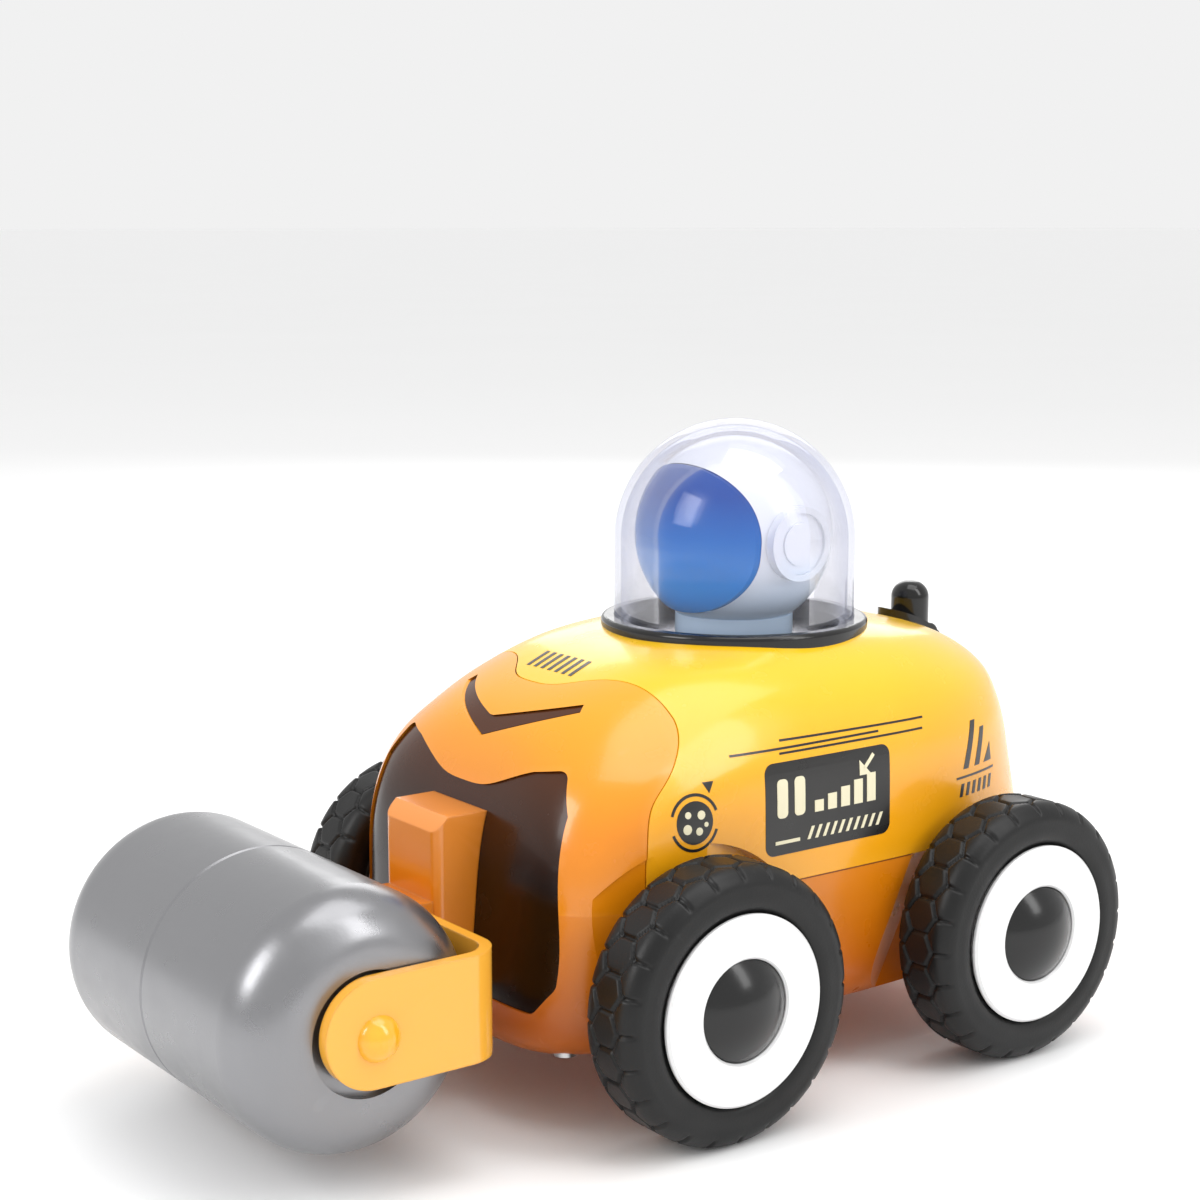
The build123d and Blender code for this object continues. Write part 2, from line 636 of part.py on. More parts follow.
def yoke():
    """U-shaped strap that carries the roller; the arms have round ends."""
    front = YOKE_END_Y - YOKE_HALF_H - 5
    outer = FilletPolyline(
        (-YOKE_OUTER_X, front),
        (-YOKE_OUTER_X, YOKE_REAR_Y),
        (YOKE_OUTER_X, YOKE_REAR_Y),
        (YOKE_OUTER_X, front),
        radius=YOKE_CORNER_R,
    )
    inner_x = YOKE_OUTER_X - YOKE_T
    inner_y = YOKE_REAR_Y - YOKE_T + 0.1
    inner = FilletPolyline(
        (inner_x, front),
        (inner_x, inner_y),
        (-inner_x, inner_y),
        (-inner_x, front),
        radius=YOKE_CORNER_R - YOKE_T,
    )
    left_end = Line((YOKE_OUTER_X, front), (inner_x, front))
    right_end = Line((-inner_x, front), (-YOKE_OUTER_X, front))
    plan = make_face(outer + left_end + inner + right_end)
    strap = Pos(0, 0, YOKE_Z - YOKE_HALF_H) * extrude(plan, amount=2 * YOKE_HALF_H)
    round_end = rod("x", YOKE_HALF_H, -60, 60, (YOKE_END_Y, YOKE_Z))
    back = box((-60, 60), (YOKE_END_Y, YOKE_REAR_Y + 1), (YOKE_Z - YOKE_HALF_H, YOKE_Z + YOKE_HALF_H))
    strap = strap & (round_end + back)
    strap = strap - rod("x", ROLLER_AXLE_R, -60, 60, (ROLLER_Y, ROLLER_Z))
    face_y = YOKE_REAR_Y - YOKE_T
    for z in STRAP_SCREWS_Z:
        strap = strap - rod("y", SCREW_R, face_y - 1, YOKE_REAR_Y + 1, (0, z))
        strap = strap - rod("y", SCREW_HEAD_R + 0.1, face_y - 1, face_y + STRAP_SCREW_HEAD_T + 0.1, (0, z))
    return main_solid(strap)


def yoke_post():
    """Square post on the grille panel with a foot that reaches the strap."""
    post = box((-POST_HALF_W, POST_HALF_W), (POST_FRONT_Y, -25), (POST_BOTTOM_Z, POST_TOP_Z))
    top_front = post.edges().group_by(Axis.Z)[-1].group_by(Axis.Y)[0]
    post = chamfer(top_front, 3.0)
    upright = post.edges().filter_by(Axis.Z).group_by(Axis.Y)[0]
    post = fillet(upright, 2.2)
    foot_z = (YOKE_Z - YOKE_HALF_H + 1.2, YOKE_Z + YOKE_HALF_H - 1.2)
    foot = box((-POST_HALF_W + 1.5, POST_HALF_W - 1.5), (YOKE_REAR_Y, POST_FRONT_Y + 1), foot_z)
    post = post - hull(PANEL_INSET) + foot
    for z in STRAP_SCREWS_Z:
        post = post - rod("y", SCREW_R, YOKE_REAR_Y - 1, YOKE_REAR_Y + 9, (0, z))
    for z in POST_SCREWS_Z:
        post = post - rod("y", SCREW_R, POST_FRONT_Y + 3, 0, (0, z))
    return main_solid(post)


def post_screws():
    """Two screws through the panel into the post, and two through the strap into its foot."""
    screws = []
    head_y = POST_SCREW_HEAD_Y
    for z in POST_SCREWS_Z:
        shank = rod("y", SCREW_R, POST_FRONT_Y + 3, head_y, (0, z))
        screws.append(shank + rod("y", SCREW_HEAD_R, head_y, head_y + SCREW_HEAD_T, (0, z)))
    face_y = YOKE_REAR_Y - YOKE_T
    for z in STRAP_SCREWS_Z:
        head = rod("y", SCREW_HEAD_R, face_y + 0.1, face_y + STRAP_SCREW_HEAD_T, (0, z))
        screws.append(head + rod("y", SCREW_R, face_y + STRAP_SCREW_HEAD_T, YOKE_REAR_Y + 8.5, (0, z)))
    return screws


# ---------------------------------------------------------------- wheels
def tyre():
    """Tyre with rounded shoulders and bulging side walls, about the X axis."""
    inner = TYRE_INNER_X
    outer = inner + TYRE_W
    shoulder_r = TYRE_R - TYRE_SHOULDER
    tread = Polyline((inner + TYRE_SHOULDER, TYRE_R), (outer - TYRE_SHOULDER, TYRE_R))
    outer_shoulder = quarter((outer - TYRE_SHOULDER, shoulder_r), TYRE_SHOULDER, 90, 0)
    side_wall = ThreePointArc((outer, shoulder_r), (outer + 0.25, 21.8), (outer - 0.6, RING_R + 0.3))
    seat = Polyline(
        (outer - 0.6, RING_R + 0.3),
        (outer - 1.9, RIM_SEAT_R),
        (inner + 1, RIM_SEAT_R),
        (inner + 0.3, RING_R + 0.5),
    )
    inner_wall = ThreePointArc((inner + 0.3, RING_R + 0.5), (inner - 0.1, 21.8), (inner, shoulder_r))
    inner_shoulder = quarter((inner + TYRE_SHOULDER, shoulder_r), TYRE_SHOULDER, 180, 90)
    face = make_face(tread + outer_shoulder + side_wall + seat + inner_wall + inner_shoulder)
    return revolve(face, axis=Axis.X)


def rim(bore):
    """Wheel body: barrel, flat outer ring, hub cap seat, web and hub, about the X axis."""
    inner = TYRE_INNER_X
    outer = inner + TYRE_W
    cap_r = HUB_CAP_R + 0.1
    seat_x = RING_FACE_X - CAP_SEAT_DEPTH
    outline = [
        (inner + 1, RIM_SEAT_R),
        (outer - 1.8, RIM_SEAT_R),
        (outer - 0.4, RING_R),
        (RING_FACE_X - 0.5, RING_R),
        (RING_FACE_X, RING_R - 0.5),
        (RING_FACE_X, cap_r + 0.4),
        (RING_FACE_X - 0.4, cap_r),
        (seat_x, cap_r),
        (seat_x, cap_r - 1.7),
        (seat_x - 1.2, cap_r - 1.7),
        (seat_x - 1.2, BARREL_R),
        (inner + 8, BARREL_R),
        (inner + 8, HUB_R),
        (inner + 12, HUB_R),
        (inner + 12, bore),
        (inner + 0.7, bore),
        (inner + 0.7, HUB_R),
        (inner + 6, HUB_R),
        (inner + 6, BARREL_R),
        (inner + 1, BARREL_R),
    ]
    return turned(outline, (0, 0))


def hub_cap():
    """Domed cap pressed into the ring, about the X axis."""
    seat_x = RING_FACE_X - CAP_SEAT_DEPTH
    step = RING_FACE_X - 0.6
    dome = dome_points(step, HUB_CAP_R, HUB_CAP_RISE)
    under_x = seat_x + 1.2
    edge = Spline(*dome)
    rest = Polyline(
        dome[-1],
        (dome[-1][0], 0),
        (under_x, 0),
        (under_x, HUB_CAP_R - 1.2),
        (seat_x, HUB_CAP_R - 1.2),
        (seat_x, HUB_CAP_R),
        dome[0],
    )
    return revolve(make_face(edge + rest), axis=Axis.X)


def wheel_node(shape, side, axle_y):
    """One wheel piece in its place; side is +1 on the vehicle's left."""
    placed = Pos(0, axle_y, AXLE_Z) * shape
    return placed if side > 0 else mirror(placed, about=Plane.YZ)


# ---------------------------------------------------------------- steering
def steering_frame():
    """Upper and lower plates that hold the king pins, tied by two blocks."""
    half_depth = 5.0
    plates = []
    for low, high in (PLATE_LOW_Z, PLATE_HIGH_Z):
        reach = 33.0 if low == PLATE_LOW_Z[0] else KING_X
        bar = box((-reach, reach), (FRONT_AXLE_Y - half_depth, FRONT_AXLE_Y + half_depth), (low, high))
        plates.append(bar)
    low, high = PLATE_LOW_Z
    lift = FLOOR_TOP_Z + 0.8
    tip = box((33.0, KING_X), (FRONT_AXLE_Y - 3.4, FRONT_AXLE_Y + 3.4), (lift, high))
    low_end = rod("z", 3.4, lift, high, (KING_X, FRONT_AXLE_Y))
    high_end = rod("z", half_depth, PLATE_HIGH_Z[0], PLATE_HIGH_Z[1], (KING_X - 1.6, FRONT_AXLE_Y))
    block = box((24.0, 28.0), (FRONT_AXLE_Y - 4, FRONT_AXLE_Y + 4), (low, PLATE_HIGH_Z[1]))
    for piece in (tip, low_end, high_end, block):
        plates += both_sides(piece)
    frame = joined(plates)
    for x in (-KING_X, KING_X):
        frame = frame - rod("z", KING_PIN_R, 0, 60, (x, FRONT_AXLE_Y))
    return frame


def king_pins():
    pin = rod("z", KING_PIN_R, PLATE_LOW_Z[0] + 0.8, PLATE_HIGH_Z[1], (KING_X, FRONT_AXLE_Y))
    return both_sides(pin)


def knuckle(side):
    """Steering knuckle: barrel on the king pin, stub axle outwards, arm forwards with its pin up."""
    low = PLATE_LOW_Z[1] + 0.2
    high = PLATE_HIGH_Z[0] - 0.2
    barrel = rod("z", KNUCKLE_R, low, high, (KING_X, FRONT_AXLE_Y))
    stub = rod("x", STUB_R, KING_X + 1.8, STUB_END_X, (FRONT_AXLE_Y, AXLE_Z))
    shoulder = rod("x", 3.1, KING_X, TYRE_INNER_X + 0.4, (FRONT_AXLE_Y, AXLE_Z))
    arm_z = (STEER_BAR_Z[0] - 2.4, STEER_BAR_Z[0] - 0.15)
    arm_y = FRONT_AXLE_Y - STEER_ARM
    arm = box((KING_X - 2.2, KING_X + 2.2), (arm_y, FRONT_AXLE_Y), arm_z)
    eye = rod("z", 2.2, arm_z[0], arm_z[1], (KING_X, arm_y))
    pin = rod("z", STEER_PIN_R, arm_z[0], STEER_BAR_Z[1] + 0.5, (KING_X, arm_y))
    body = joined([barrel, stub, shoulder, arm, eye, pin])
    body = body - rod("z", KING_BORE_R, 0, 60, (KING_X, FRONT_AXLE_Y))
    body = main_solid(body)
    return body if side > 0 else mirror(body, about=Plane.YZ)


def stub_screw(side):
    """Screw and washer head that keep a front wheel on its stub axle."""
    centre = (FRONT_AXLE_Y, AXLE_Z)
    head = rod("x", 3.2, STUB_END_X + 0.4, STUB_END_X + 1.6, centre)
    head = head + rod("x", STUB_R - 0.05, STUB_END_X, STUB_END_X + 0.5, centre)
    return head if side > 0 else mirror(head, about=Plane.YZ)


def steering_bar():
    """Track bar with a slotted eye for each steering pin and a rack on its top."""
    bar_y = FRONT_AXLE_Y - STEER_ARM
    low, high = STEER_BAR_Z
    bar = box((-STEER_BAR_HALF, STEER_BAR_HALF), (bar_y - 2.5, bar_y + 2.5), (low, high))
    slot_face = SlotOverall(3.2, 2 * STEER_PIN_R + 0.24, rotation=90)
    slot = extrude(Pos(KING_X, bar_y, low - 1) * slot_face, amount=6)
    for hole in both_sides(slot):
        bar = bar - hole
    pitch = pi * GEAR_MODULE
    pitch_z = high + TOOTH_DEDENDUM * GEAR_MODULE
    tip_z = pitch_z + TOOTH_ADDENDUM * GEAR_MODULE
    slope = tan(radians(PRESSURE_ANGLE))
    half = pitch / 4 - BACKLASH / 4
    foot = half + (pitch_z - high) * slope
    tip = half - (tip_z - pitch_z) * slope
    outline = [(-8.0, high - 0.5), (-8.0, high)]
    for tooth in range(10):
        middle = pitch * (tooth - 4.5)
        outline += [(middle - foot, high), (middle - tip, tip_z)]
        outline += [(middle + tip, tip_z), (middle + foot, high)]
    outline += [(8.0, high), (8.0, high - 0.5)]
    rack = extrude(Plane.XZ * make_face(Polyline(*outline, close=True)), amount=4.0)
    return main_solid(bar + Pos(0, bar_y + 2.0, 0) * rack)


def steer_pinion_z():
    pitch_z = STEER_BAR_Z[1] + TOOTH_DEDENDUM * GEAR_MODULE
    return pitch_z + GEAR_MODULE * STEER_PINION_TEETH / 2 + CENTRE_SLACK


def steering_pinion():
    """Pinion on the shaft of the steering motor, one tooth pointing down into the rack."""
    bar_y = FRONT_AXLE_Y - STEER_ARM
    z = steer_pinion_z()
    plane = Plane(origin=(0, bar_y + 2.0, z), x_dir=(1, 0, 0), z_dir=(0, -1, 0))
    pinion = extrude(plane * gear_face(STEER_PINION_TEETH, -90), amount=4.0)
    return pinion + rod("y", 0.75, bar_y - 2.6, STEER_MOTOR_Y[0] + 1.0, (0, z))


def steering_motor():
    """Small flat-sided motor, shaft forward, in its clamp."""
    z = steer_pinion_z()
    can = rod("y", 7.6, STEER_MOTOR_Y[0], STEER_MOTOR_Y[1], (0, z))
    can = can & box((-20, 20), (-40, 20), (z - 6, z + 6))
    nose = rod("y", 2.4, STEER_MOTOR_Y[0] - 1.0, STEER_MOTOR_Y[0], (0, z))
    return can + nose - rod("y", 0.8, STEER_MOTOR_Y[0] - 5, STEER_MOTOR_Y[0] + 1.05, (0, z))


# ---------------------------------------------------------------- drive
def compound_centre():
    distance = GEAR_MODULE * (AXLE_GEAR_TEETH + COMPOUND_SMALL_TEETH) / 2 + CENTRE_SLACK
    angle = radians(COMPOUND_ANGLE)
    return REAR_AXLE_Y + distance * cos(angle), AXLE_Z + distance * sin(angle)


def motor_centre():
    distance = GEAR_MODULE * (COMPOUND_LARGE_TEETH + DRIVE_PINION_TEETH) / 2 + CENTRE_SLACK
    angle = radians(DRIVE_PINION_ANGLE)
    y, z = compound_centre()
    return y + distance * cos(angle), z + distance * sin(angle)


def axle_gear():
    centre = (REAR_AXLE_Y, AXLE_Z)
    gear = gear_along_x(AXLE_GEAR_TEETH, COMPOUND_ANGLE, SMALL_GEAR_X[0], SMALL_GEAR_X[1], centre)
    hub = rod("x", 2.8, SMALL_GEAR_X[1], SMALL_GEAR_X[1] + 3, centre)
    return gear + hub - rod("x", REAR_BORE_R, 0, 60, centre)


def compound_gear():
    """Two gears in one piece: the small one drives the axle gear, the large one is driven by the motor."""
    centre = compound_centre()
    gap_at = COMPOUND_ANGLE + 180 + 180 / COMPOUND_SMALL_TEETH
    small = gear_along_x(COMPOUND_SMALL_TEETH, gap_at, SMALL_GEAR_X[0], LARGE_GEAR_X[0], centre)
    large = gear_along_x(COMPOUND_LARGE_TEETH, DRIVE_PINION_ANGLE, LARGE_GEAR_X[0], LARGE_GEAR_X[1], centre)
    return small + large - rod("x", 1.04, 0, 60, centre)


def compound_shaft():
    return rod("x", 1.0, FRAME_PLATES_X[0][0] + 0.2, FRAME_PLATES_X[1][1], compound_centre())


def drive_pinion():
    """Motor pinion and the motor shaft that it is pressed on."""
    centre = motor_centre()
    gap_at = DRIVE_PINION_ANGLE + 180 + 180 / DRIVE_PINION_TEETH
    pinion = gear_along_x(DRIVE_PINION_TEETH, gap_at, LARGE_GEAR_X[0], LARGE_GEAR_X[1], centre)
    return pinion + rod("x", 1.0, MOTOR_X[1] - 2.0, LARGE_GEAR_X[1], centre)


def drive_motor():
    """Flat-sided can motor with an end boss, brush cap and two terminals."""
    y, z = motor_centre()
    can = rod("x", 10.2, MOTOR_X[0], MOTOR_X[1], (y, z))
    can = can & box((-40, 40), (y - 11, y + 11), (z - 7.7, z + 7.7))
    cap = rod("x", 4.0, MOTOR_X[0] - 1.6, MOTOR_X[0], (y, z))
    boss = rod("x", 3.0, MOTOR_X[1], MOTOR_X[1] + 1.5, (y, z))
    terminal_x = (MOTOR_X[0] - 3, MOTOR_X[0])
    terminals = [box(terminal_x, (y + d - 1, y + d + 1), (z - 0.3, z + 0.3)) for d in (-7.5, 7.5)]
    motor = joined([can, cap, boss] + terminals)
    return motor - rod("x", 1.04, MOTOR_X[1] - 2.05, MOTOR_X[1] + 3, (y, z))


def gearbox_frame():
    """Two plates tied by spacers; they hold the motor, the compound shaft and the rear axle."""
    y, z = motor_centre()
    pieces = []
    for low, high in FRAME_PLATES_X:
        foot_z = FLOOR_TOP_Z if low < 30 else FLOOR_TOP_Z + 3.2
        pieces.append(box((low, high), (58.5, 77.5), (foot_z, 52.5)))
        pieces.append(box((low, high), (50.5, 60.0), (38.5, 52.5)))
    for across in ((75.0, 49.5), (75.2, 19.5), (53.0, 50.4)):
        pieces.append(rod("x", 1.4, FRAME_PLATES_X[0][0], FRAME_PLATES_X[1][1], across))
    inner_x = FRAME_PLATES_X[0][0]
    foot = box((inner_x - 6, inner_x), (60.5, 77.5), (FLOOR_TOP_Z, FLOOR_TOP_Z + 2))
    frame = joined(pieces + [foot])
    frame = frame - rod("x", REAR_BORE_R + 0.1, 0, 60, (REAR_AXLE_Y, AXLE_Z))
    frame = frame - rod("x", 1.0, 0, 60, compound_centre())
    frame = frame - rod("x", 3.05, FRAME_PLATES_X[0][0] - 1, FRAME_PLATES_X[0][1] + 1, (y, z))
    return main_solid(frame)


def rear_axle():
    reach = TYRE_INNER_X + 12.0
    return rod("x", REAR_BORE_R, -reach, reach, (REAR_AXLE_Y, AXLE_Z))


def axle_bushes():
    """Flanged bush in each side wall for the rear axle."""
    centre = (REAR_AXLE_Y, AXLE_Z)
    sleeve = rod("x", BUSH_R, 36.0, 40.0, centre) + rod("x", BUSH_R + 1.4, 35.0, 36.8, centre)
    return both_sides(sleeve - rod("x", REAR_BORE_R + 0.05, 0, 60, centre))


# ---------------------------------------------------------------- power and control
def battery_cells():
    """Three round cells, each with its contact nub."""
    cells = []
    for column in (-1, 0, 1):
        x = column * (2 * CELL_R + 0.5)
        can = rod("y", CELL_R, CELL_Y, CELL_Y + CELL_L, (x, CELL_Z))
        can = fillet(can.edges(), 0.6)
        cells.append(can + rod("y", 2.6, CELL_Y + CELL_L, CELL_Y + CELL_L + 1.4, (x, CELL_Z)))
    return cells


def battery_contacts():
    """Contact plates at both ends of the bay: cone springs in front, flat nubs behind."""
    front, rear = BAY_Y[0], BAY_Y[1]
    rear_reach = CELL_Y + CELL_L + 1.4
    contacts = []
    for column in (-1, 0, 1):
        x = column * (2 * CELL_R + 0.5)
        plate_x = (x - 5.5, x + 5.5)
        plate_z = (CELL_Z - 6, CELL_Z + 6)
        length = CELL_Y - front
        spring = Pos(x, front + length / 2, CELL_Z) * Rot(90, 0, 0) * Cone(4.0, 2.2, length)
        contacts.append(box(plate_x, (front, front + 0.4), plate_z) + spring)
        nub = rod("y", 2.4, rear_reach, rear, (x, CELL_Z))
        contacts.append(box(plate_x, (rear - 0.4, rear), plate_z) + nub)
    return contacts


def battery_door():
    """Flat door plate with a tab for its screw."""
    return door_zone(0) - rod("z", SCREW_BORE_R, 0, 40, (0, BAY_Y[1] + 4.2))


def screw_up(x, y, head_z, top_z):
    """Screw with its head down at head_z and its tip at top_z."""
    head = rod("z", SCREW_HEAD_R, head_z, head_z + SCREW_HEAD_T, (x, y))
    head = head - box((x - 1.8, x + 1.8), (y - 0.3, y + 0.3), (head_z - 1, head_z + 0.8))
    head = head - box((x - 0.3, x + 0.3), (y - 1.8, y + 1.8), (head_z - 1, head_z + 0.8))
    return head + rod("z", SCREW_R, head_z + SCREW_HEAD_T, top_z, (x, y))


def body_screws():
    """Six body screws from below and the battery door screw."""
    screws = []
    for x, y in BODY_SCREWS:
        for sign in (-1, 1):
            screws.append(screw_up(sign * x, y, FLOOR_Z + 0.4, SCREW_TOP_Z - 1))
    screws.append(screw_up(0, BAY_Y[1] + 4.2, FLOOR_Z - SCREW_HEAD_T, 24))
    return screws


def switch_body():
    x, y = SWITCH_AT
    can = box((x - 4.2, x + 4.2), (y - 6.5, y + 6.5), (FLOOR_TOP_Z, FLOOR_TOP_Z + 5.4))
    can = can - box((x - 2.6, x + 2.6), (y - 5.0, y + 5.0), (FLOOR_TOP_Z - 1, FLOOR_TOP_Z + 3.0))
    leg_z = (FLOOR_TOP_Z + 5.4, FLOOR_TOP_Z + 8.5)
    legs = [box((x - 0.5, x + 0.5), (y + d - 0.3, y + d + 0.3), leg_z) for d in (-3, 0, 3)]
    return joined([can] + legs)


def switch_knob():
    """Slider through the floor slot, resting at the rear end of its travel."""
    x, y = SWITCH_AT
    rear = y + 4.0
    base = box((x - 2.4, x + 2.4), (rear - 4.8, rear + 0.8), (FLOOR_TOP_Z + 0.2, FLOOR_TOP_Z + 2.4))
    lever = box((x - 1.6, x + 1.6), (rear - 4.0, rear), (FLOOR_Z - 1.4, FLOOR_TOP_Z + 0.4))
    return base + lever


def circuit_board():
    board = box((-24, 24), (4, 48), (BOARD_Z, BOARD_Z + BOARD_T))
    for x in (-STAND_X, STAND_X):
        for y in STAND_Y:
            board = board - rod("z", 1.0, 0, 60, (x, y))
    return board


def board_components():
    """Chips, crystal can, receiver coil and capacitors standing on the board."""
    top = BOARD_Z + BOARD_T
    chips = [box((-16, -6), (14, 20), (top, top + 1.8)), box((2, 12), (26, 31), (top, top + 1.8))]
    crystal = box((6, 17), (12, 16), (top, top + 3.6))
    coil = box((-16, -9), (30, 37), (top, top + 8)) - rod("z", 1.6, top + 5, top + 9, (-12.5, 33.5))
    cans = [rod("z", 3.0, top, top + 8, (x, 38.0)) for x in (0.0, 8.0)]
    return chips + [crystal, coil] + cans


# ---------------------------------------------------------------- all nodes
def build():
    form, void = body_skins()
    skin = form - void
    plain = hull(0)
    nodes = {
        "upper_shell": upper_shell(skin, plain),
        "front_mask": front_mask(skin, plain),
        "lower_chassis": lower_chassis(skin, plain),
        "grille_panel": grille_panel(),
        "vent_insert": vent_insert(),
        "cab_dome": cab_dome(),
        "dome_collar": dome_collar(plain),
        "cab_floor": cab_floor(),
        "helmet_shell": helmet_shell(),
        "helmet_visor": helmet_visor(),
        "helmet_ears": helmet_ears(),
        "helmet_neck": helmet_neck(),
        "cab_light": cab_light(),
        "beacon": beacon(),
        "beacon_base": beacon_base(plain),
        "roller_half_left": roller_half(1),
        "roller_half_right": roller_half(-1),
        "roller_axle": roller_axle(),
        "roller_pin_caps": roller_pin_caps(),
        "yoke": yoke(),
        "yoke_post": yoke_post(),
        "post_screws": post_screws(),
        "steering_frame": steering_frame(),
        "king_pins": king_pins(),
        "steering_bar": steering_bar(),
        "steering_pinion": steering_pinion(),
        "steering_motor": steering_motor(),
        "axle_gear": axle_gear(),
        "compound_gear": compound_gear(),
        "compound_shaft": compound_shaft(),
        "drive_pinion": drive_pinion(),
        "drive_motor": drive_motor(),
        "gearbox_frame": gearbox_frame(),
        "rear_axle": rear_axle(),
        "axle_bushes": axle_bushes(),
        "battery_cells": battery_cells(),
        "battery_contacts": battery_contacts(),
        "battery_door": battery_door(),
        "body_screws": body_screws(),
        "switch_body": switch_body(),
        "switch_knob": switch_knob(),
        "circuit_board": circuit_board(),
        "board_components": board_components(),
    }
    for side, name in ((1, "left"), (-1, "right")):
        nodes["knuckle_" + name] = knuckle(side)
        nodes["stub_screw_" + name] = stub_screw(side)
        ends = (("front", FRONT_AXLE_Y, FRONT_BORE_R), ("rear", REAR_AXLE_Y, REAR_BORE_R))
        for end, axle_y, bore in ends:
            nodes[f"tyre_{end}_{name}"] = wheel_node(tyre(), side, axle_y)
            nodes[f"rim_{end}_{name}"] = wheel_node(rim(bore), side, axle_y)
            nodes[f"hub_cap_{end}_{name}"] = wheel_node(hub_cap(), side, axle_y)
    return nodes


os.makedirs("parts", exist_ok=True)
for node, shape in build().items():
    whole = Compound(children=[Part() + piece for piece in shape]) if isinstance(shape, list) else shape
    export_step(whole, f"parts/{node}.step")
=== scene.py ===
import json
from math import cos, hypot, pi, radians, sin

import bmesh
import bpy
import numpy as np
from mathutils import Matrix, Vector
from mathutils.bvhtree import BVHTree


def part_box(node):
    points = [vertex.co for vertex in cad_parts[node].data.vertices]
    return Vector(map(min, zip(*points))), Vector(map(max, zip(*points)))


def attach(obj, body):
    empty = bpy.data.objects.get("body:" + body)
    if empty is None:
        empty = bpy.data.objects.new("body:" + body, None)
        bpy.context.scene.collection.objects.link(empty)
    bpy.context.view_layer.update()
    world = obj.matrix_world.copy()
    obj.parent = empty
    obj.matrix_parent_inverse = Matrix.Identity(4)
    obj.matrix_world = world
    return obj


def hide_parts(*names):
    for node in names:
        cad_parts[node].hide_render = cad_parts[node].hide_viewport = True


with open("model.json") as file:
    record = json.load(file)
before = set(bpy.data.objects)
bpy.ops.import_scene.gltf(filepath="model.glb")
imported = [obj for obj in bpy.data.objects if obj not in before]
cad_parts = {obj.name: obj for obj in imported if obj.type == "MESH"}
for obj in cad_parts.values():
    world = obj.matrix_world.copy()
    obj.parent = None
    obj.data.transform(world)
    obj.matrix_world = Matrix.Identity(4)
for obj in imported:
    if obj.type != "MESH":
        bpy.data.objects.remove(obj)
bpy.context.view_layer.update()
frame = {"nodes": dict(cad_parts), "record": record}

BODY_NODES = ("upper_shell", "front_mask", "lower_chassis")
WHEELS = ("front_left", "front_right", "rear_left", "rear_right")

# Lengths of the pieces are in millimetres and are turned into metres with MM.
MM = 0.001
RAY_START = 0.2  # metres from the middle planes, outside the body on every side

# Tyre
TREAD_COUNT = 24
TREAD_STEPS = 20
PROFILE_STEP = 0.34
GROOVE_DEPTH = 0.9
GROOVE_HALF = 0.42
GROOVE_SLOPE = 0.6
GROOVE_END = 8.6
GROOVE_FADE = 1.6
TREAD_HALF = 3.7
SHOULDER_R = 4.0
TYRE_R = 28.0
TYRE_W = 15.4
TYRE_BORE_R = 18.1
SEAT_CLEARANCE = 0.1
OFF_TREAD = 99.0  # run of profile points away from the tread
TYRE_WALL = ((7.70, 23.4), (7.80, 22.4), (7.78, 21.4), (7.60, 20.4), (7.2, 19.7), (6.6, 19.35))
TYRE_SEAT = ((6.2, 18.6), (5.9, TYRE_BORE_R), (3.0, TYRE_BORE_R))

# Body
CAB_Y = 36.5
SEAM_Z = 45.0
SEAM_HALF = 0.14
SEAM_DEPTH = 0.1
SEAM_PROUD = 0.05
SEAM_TURN = 140

# Printed marks
LIFT = 0.07
FILM = 0.12
CELL = 1.2
LINE_W = 0.45
BADGE_AT = (-9.7, 61.0)
BADGE_SPOTS = ((1.5, 1.4, 0.9), (-1.6, 1.7, 0.7), (-1.9, -1.1, 1.0), (0.9, -1.8, 0.8), (2.6, -0.6, 0.5))

# Stage, in metres
FLOOR_HALF = 60.0
LIGHT_TARGET = (0, 0, 0.05)
WORLD_STRENGTH = 0.88
CAMERA_PLACE = (0.3809, -0.2798, 0.1770)
CAMERA_AZIMUTH = 53.72
CAMERA_ELEVATION = 9.44
CAMERA_LENS = 68.0


# ---------------------------------------------------------------- materials
def new_material(name):
    """Empty node material with its output node."""
    material = bpy.data.materials.new(name)
    material.use_nodes = True
    tree = material.node_tree
    tree.nodes.clear()
    return material, tree, tree.nodes.new("ShaderNodeOutputMaterial")


def noise(tree, scale, detail=3.0, stretch=(1, 1, 1)):
    """Noise in object space; scale is in features per metre."""
    place = tree.nodes.new("ShaderNodeTexCoord")
    mapping = tree.nodes.new("ShaderNodeMapping")
    mapping.inputs["Scale"].default_value = stretch
    texture = tree.nodes.new("ShaderNodeTexNoise")
    texture.inputs["Scale"].default_value = scale
    texture.inputs["Detail"].default_value = detail
    tree.links.new(place.outputs["Object"], mapping.inputs["Vector"])
    tree.links.new(mapping.outputs["Vector"], texture.inputs["Vector"])
    return texture.outputs["Fac"]


def spread(tree, value, low, high, from_low=0.3, from_high=0.7):
    """Maps a value to the range low to high."""
    node = tree.nodes.new("ShaderNodeMapRange")
    node.inputs["From Min"].default_value = from_low
    node.inputs["From Max"].default_value = from_high
    node.inputs["To Min"].default_value = low
    node.inputs["To Max"].default_value = high
    tree.links.new(value, node.inputs["Value"])
    return node.outputs["Result"]


def blend_colour(tree, amount, first, second):
    """Mixes two colours; each is a tuple or a socket."""
    node = tree.nodes.new("ShaderNodeMix")
    node.data_type = "RGBA"
    tree.links.new(amount, node.inputs[0])
    for socket, colour in ((node.inputs[6], first), (node.inputs[7], second)):
        if isinstance(colour, tuple):
            socket.default_value = (*colour, 1)
        else:
            tree.links.new(colour, socket)
    return node.outputs[2]


def edge_highlight_mask(tree):
    """1 on sharp outer edges, where a highlight is painted, 0 on flat faces."""
    geometry = tree.nodes.new("ShaderNodeNewGeometry")
    return spread(tree, geometry.outputs["Pointiness"], 0, 1, 0.53, 0.62)


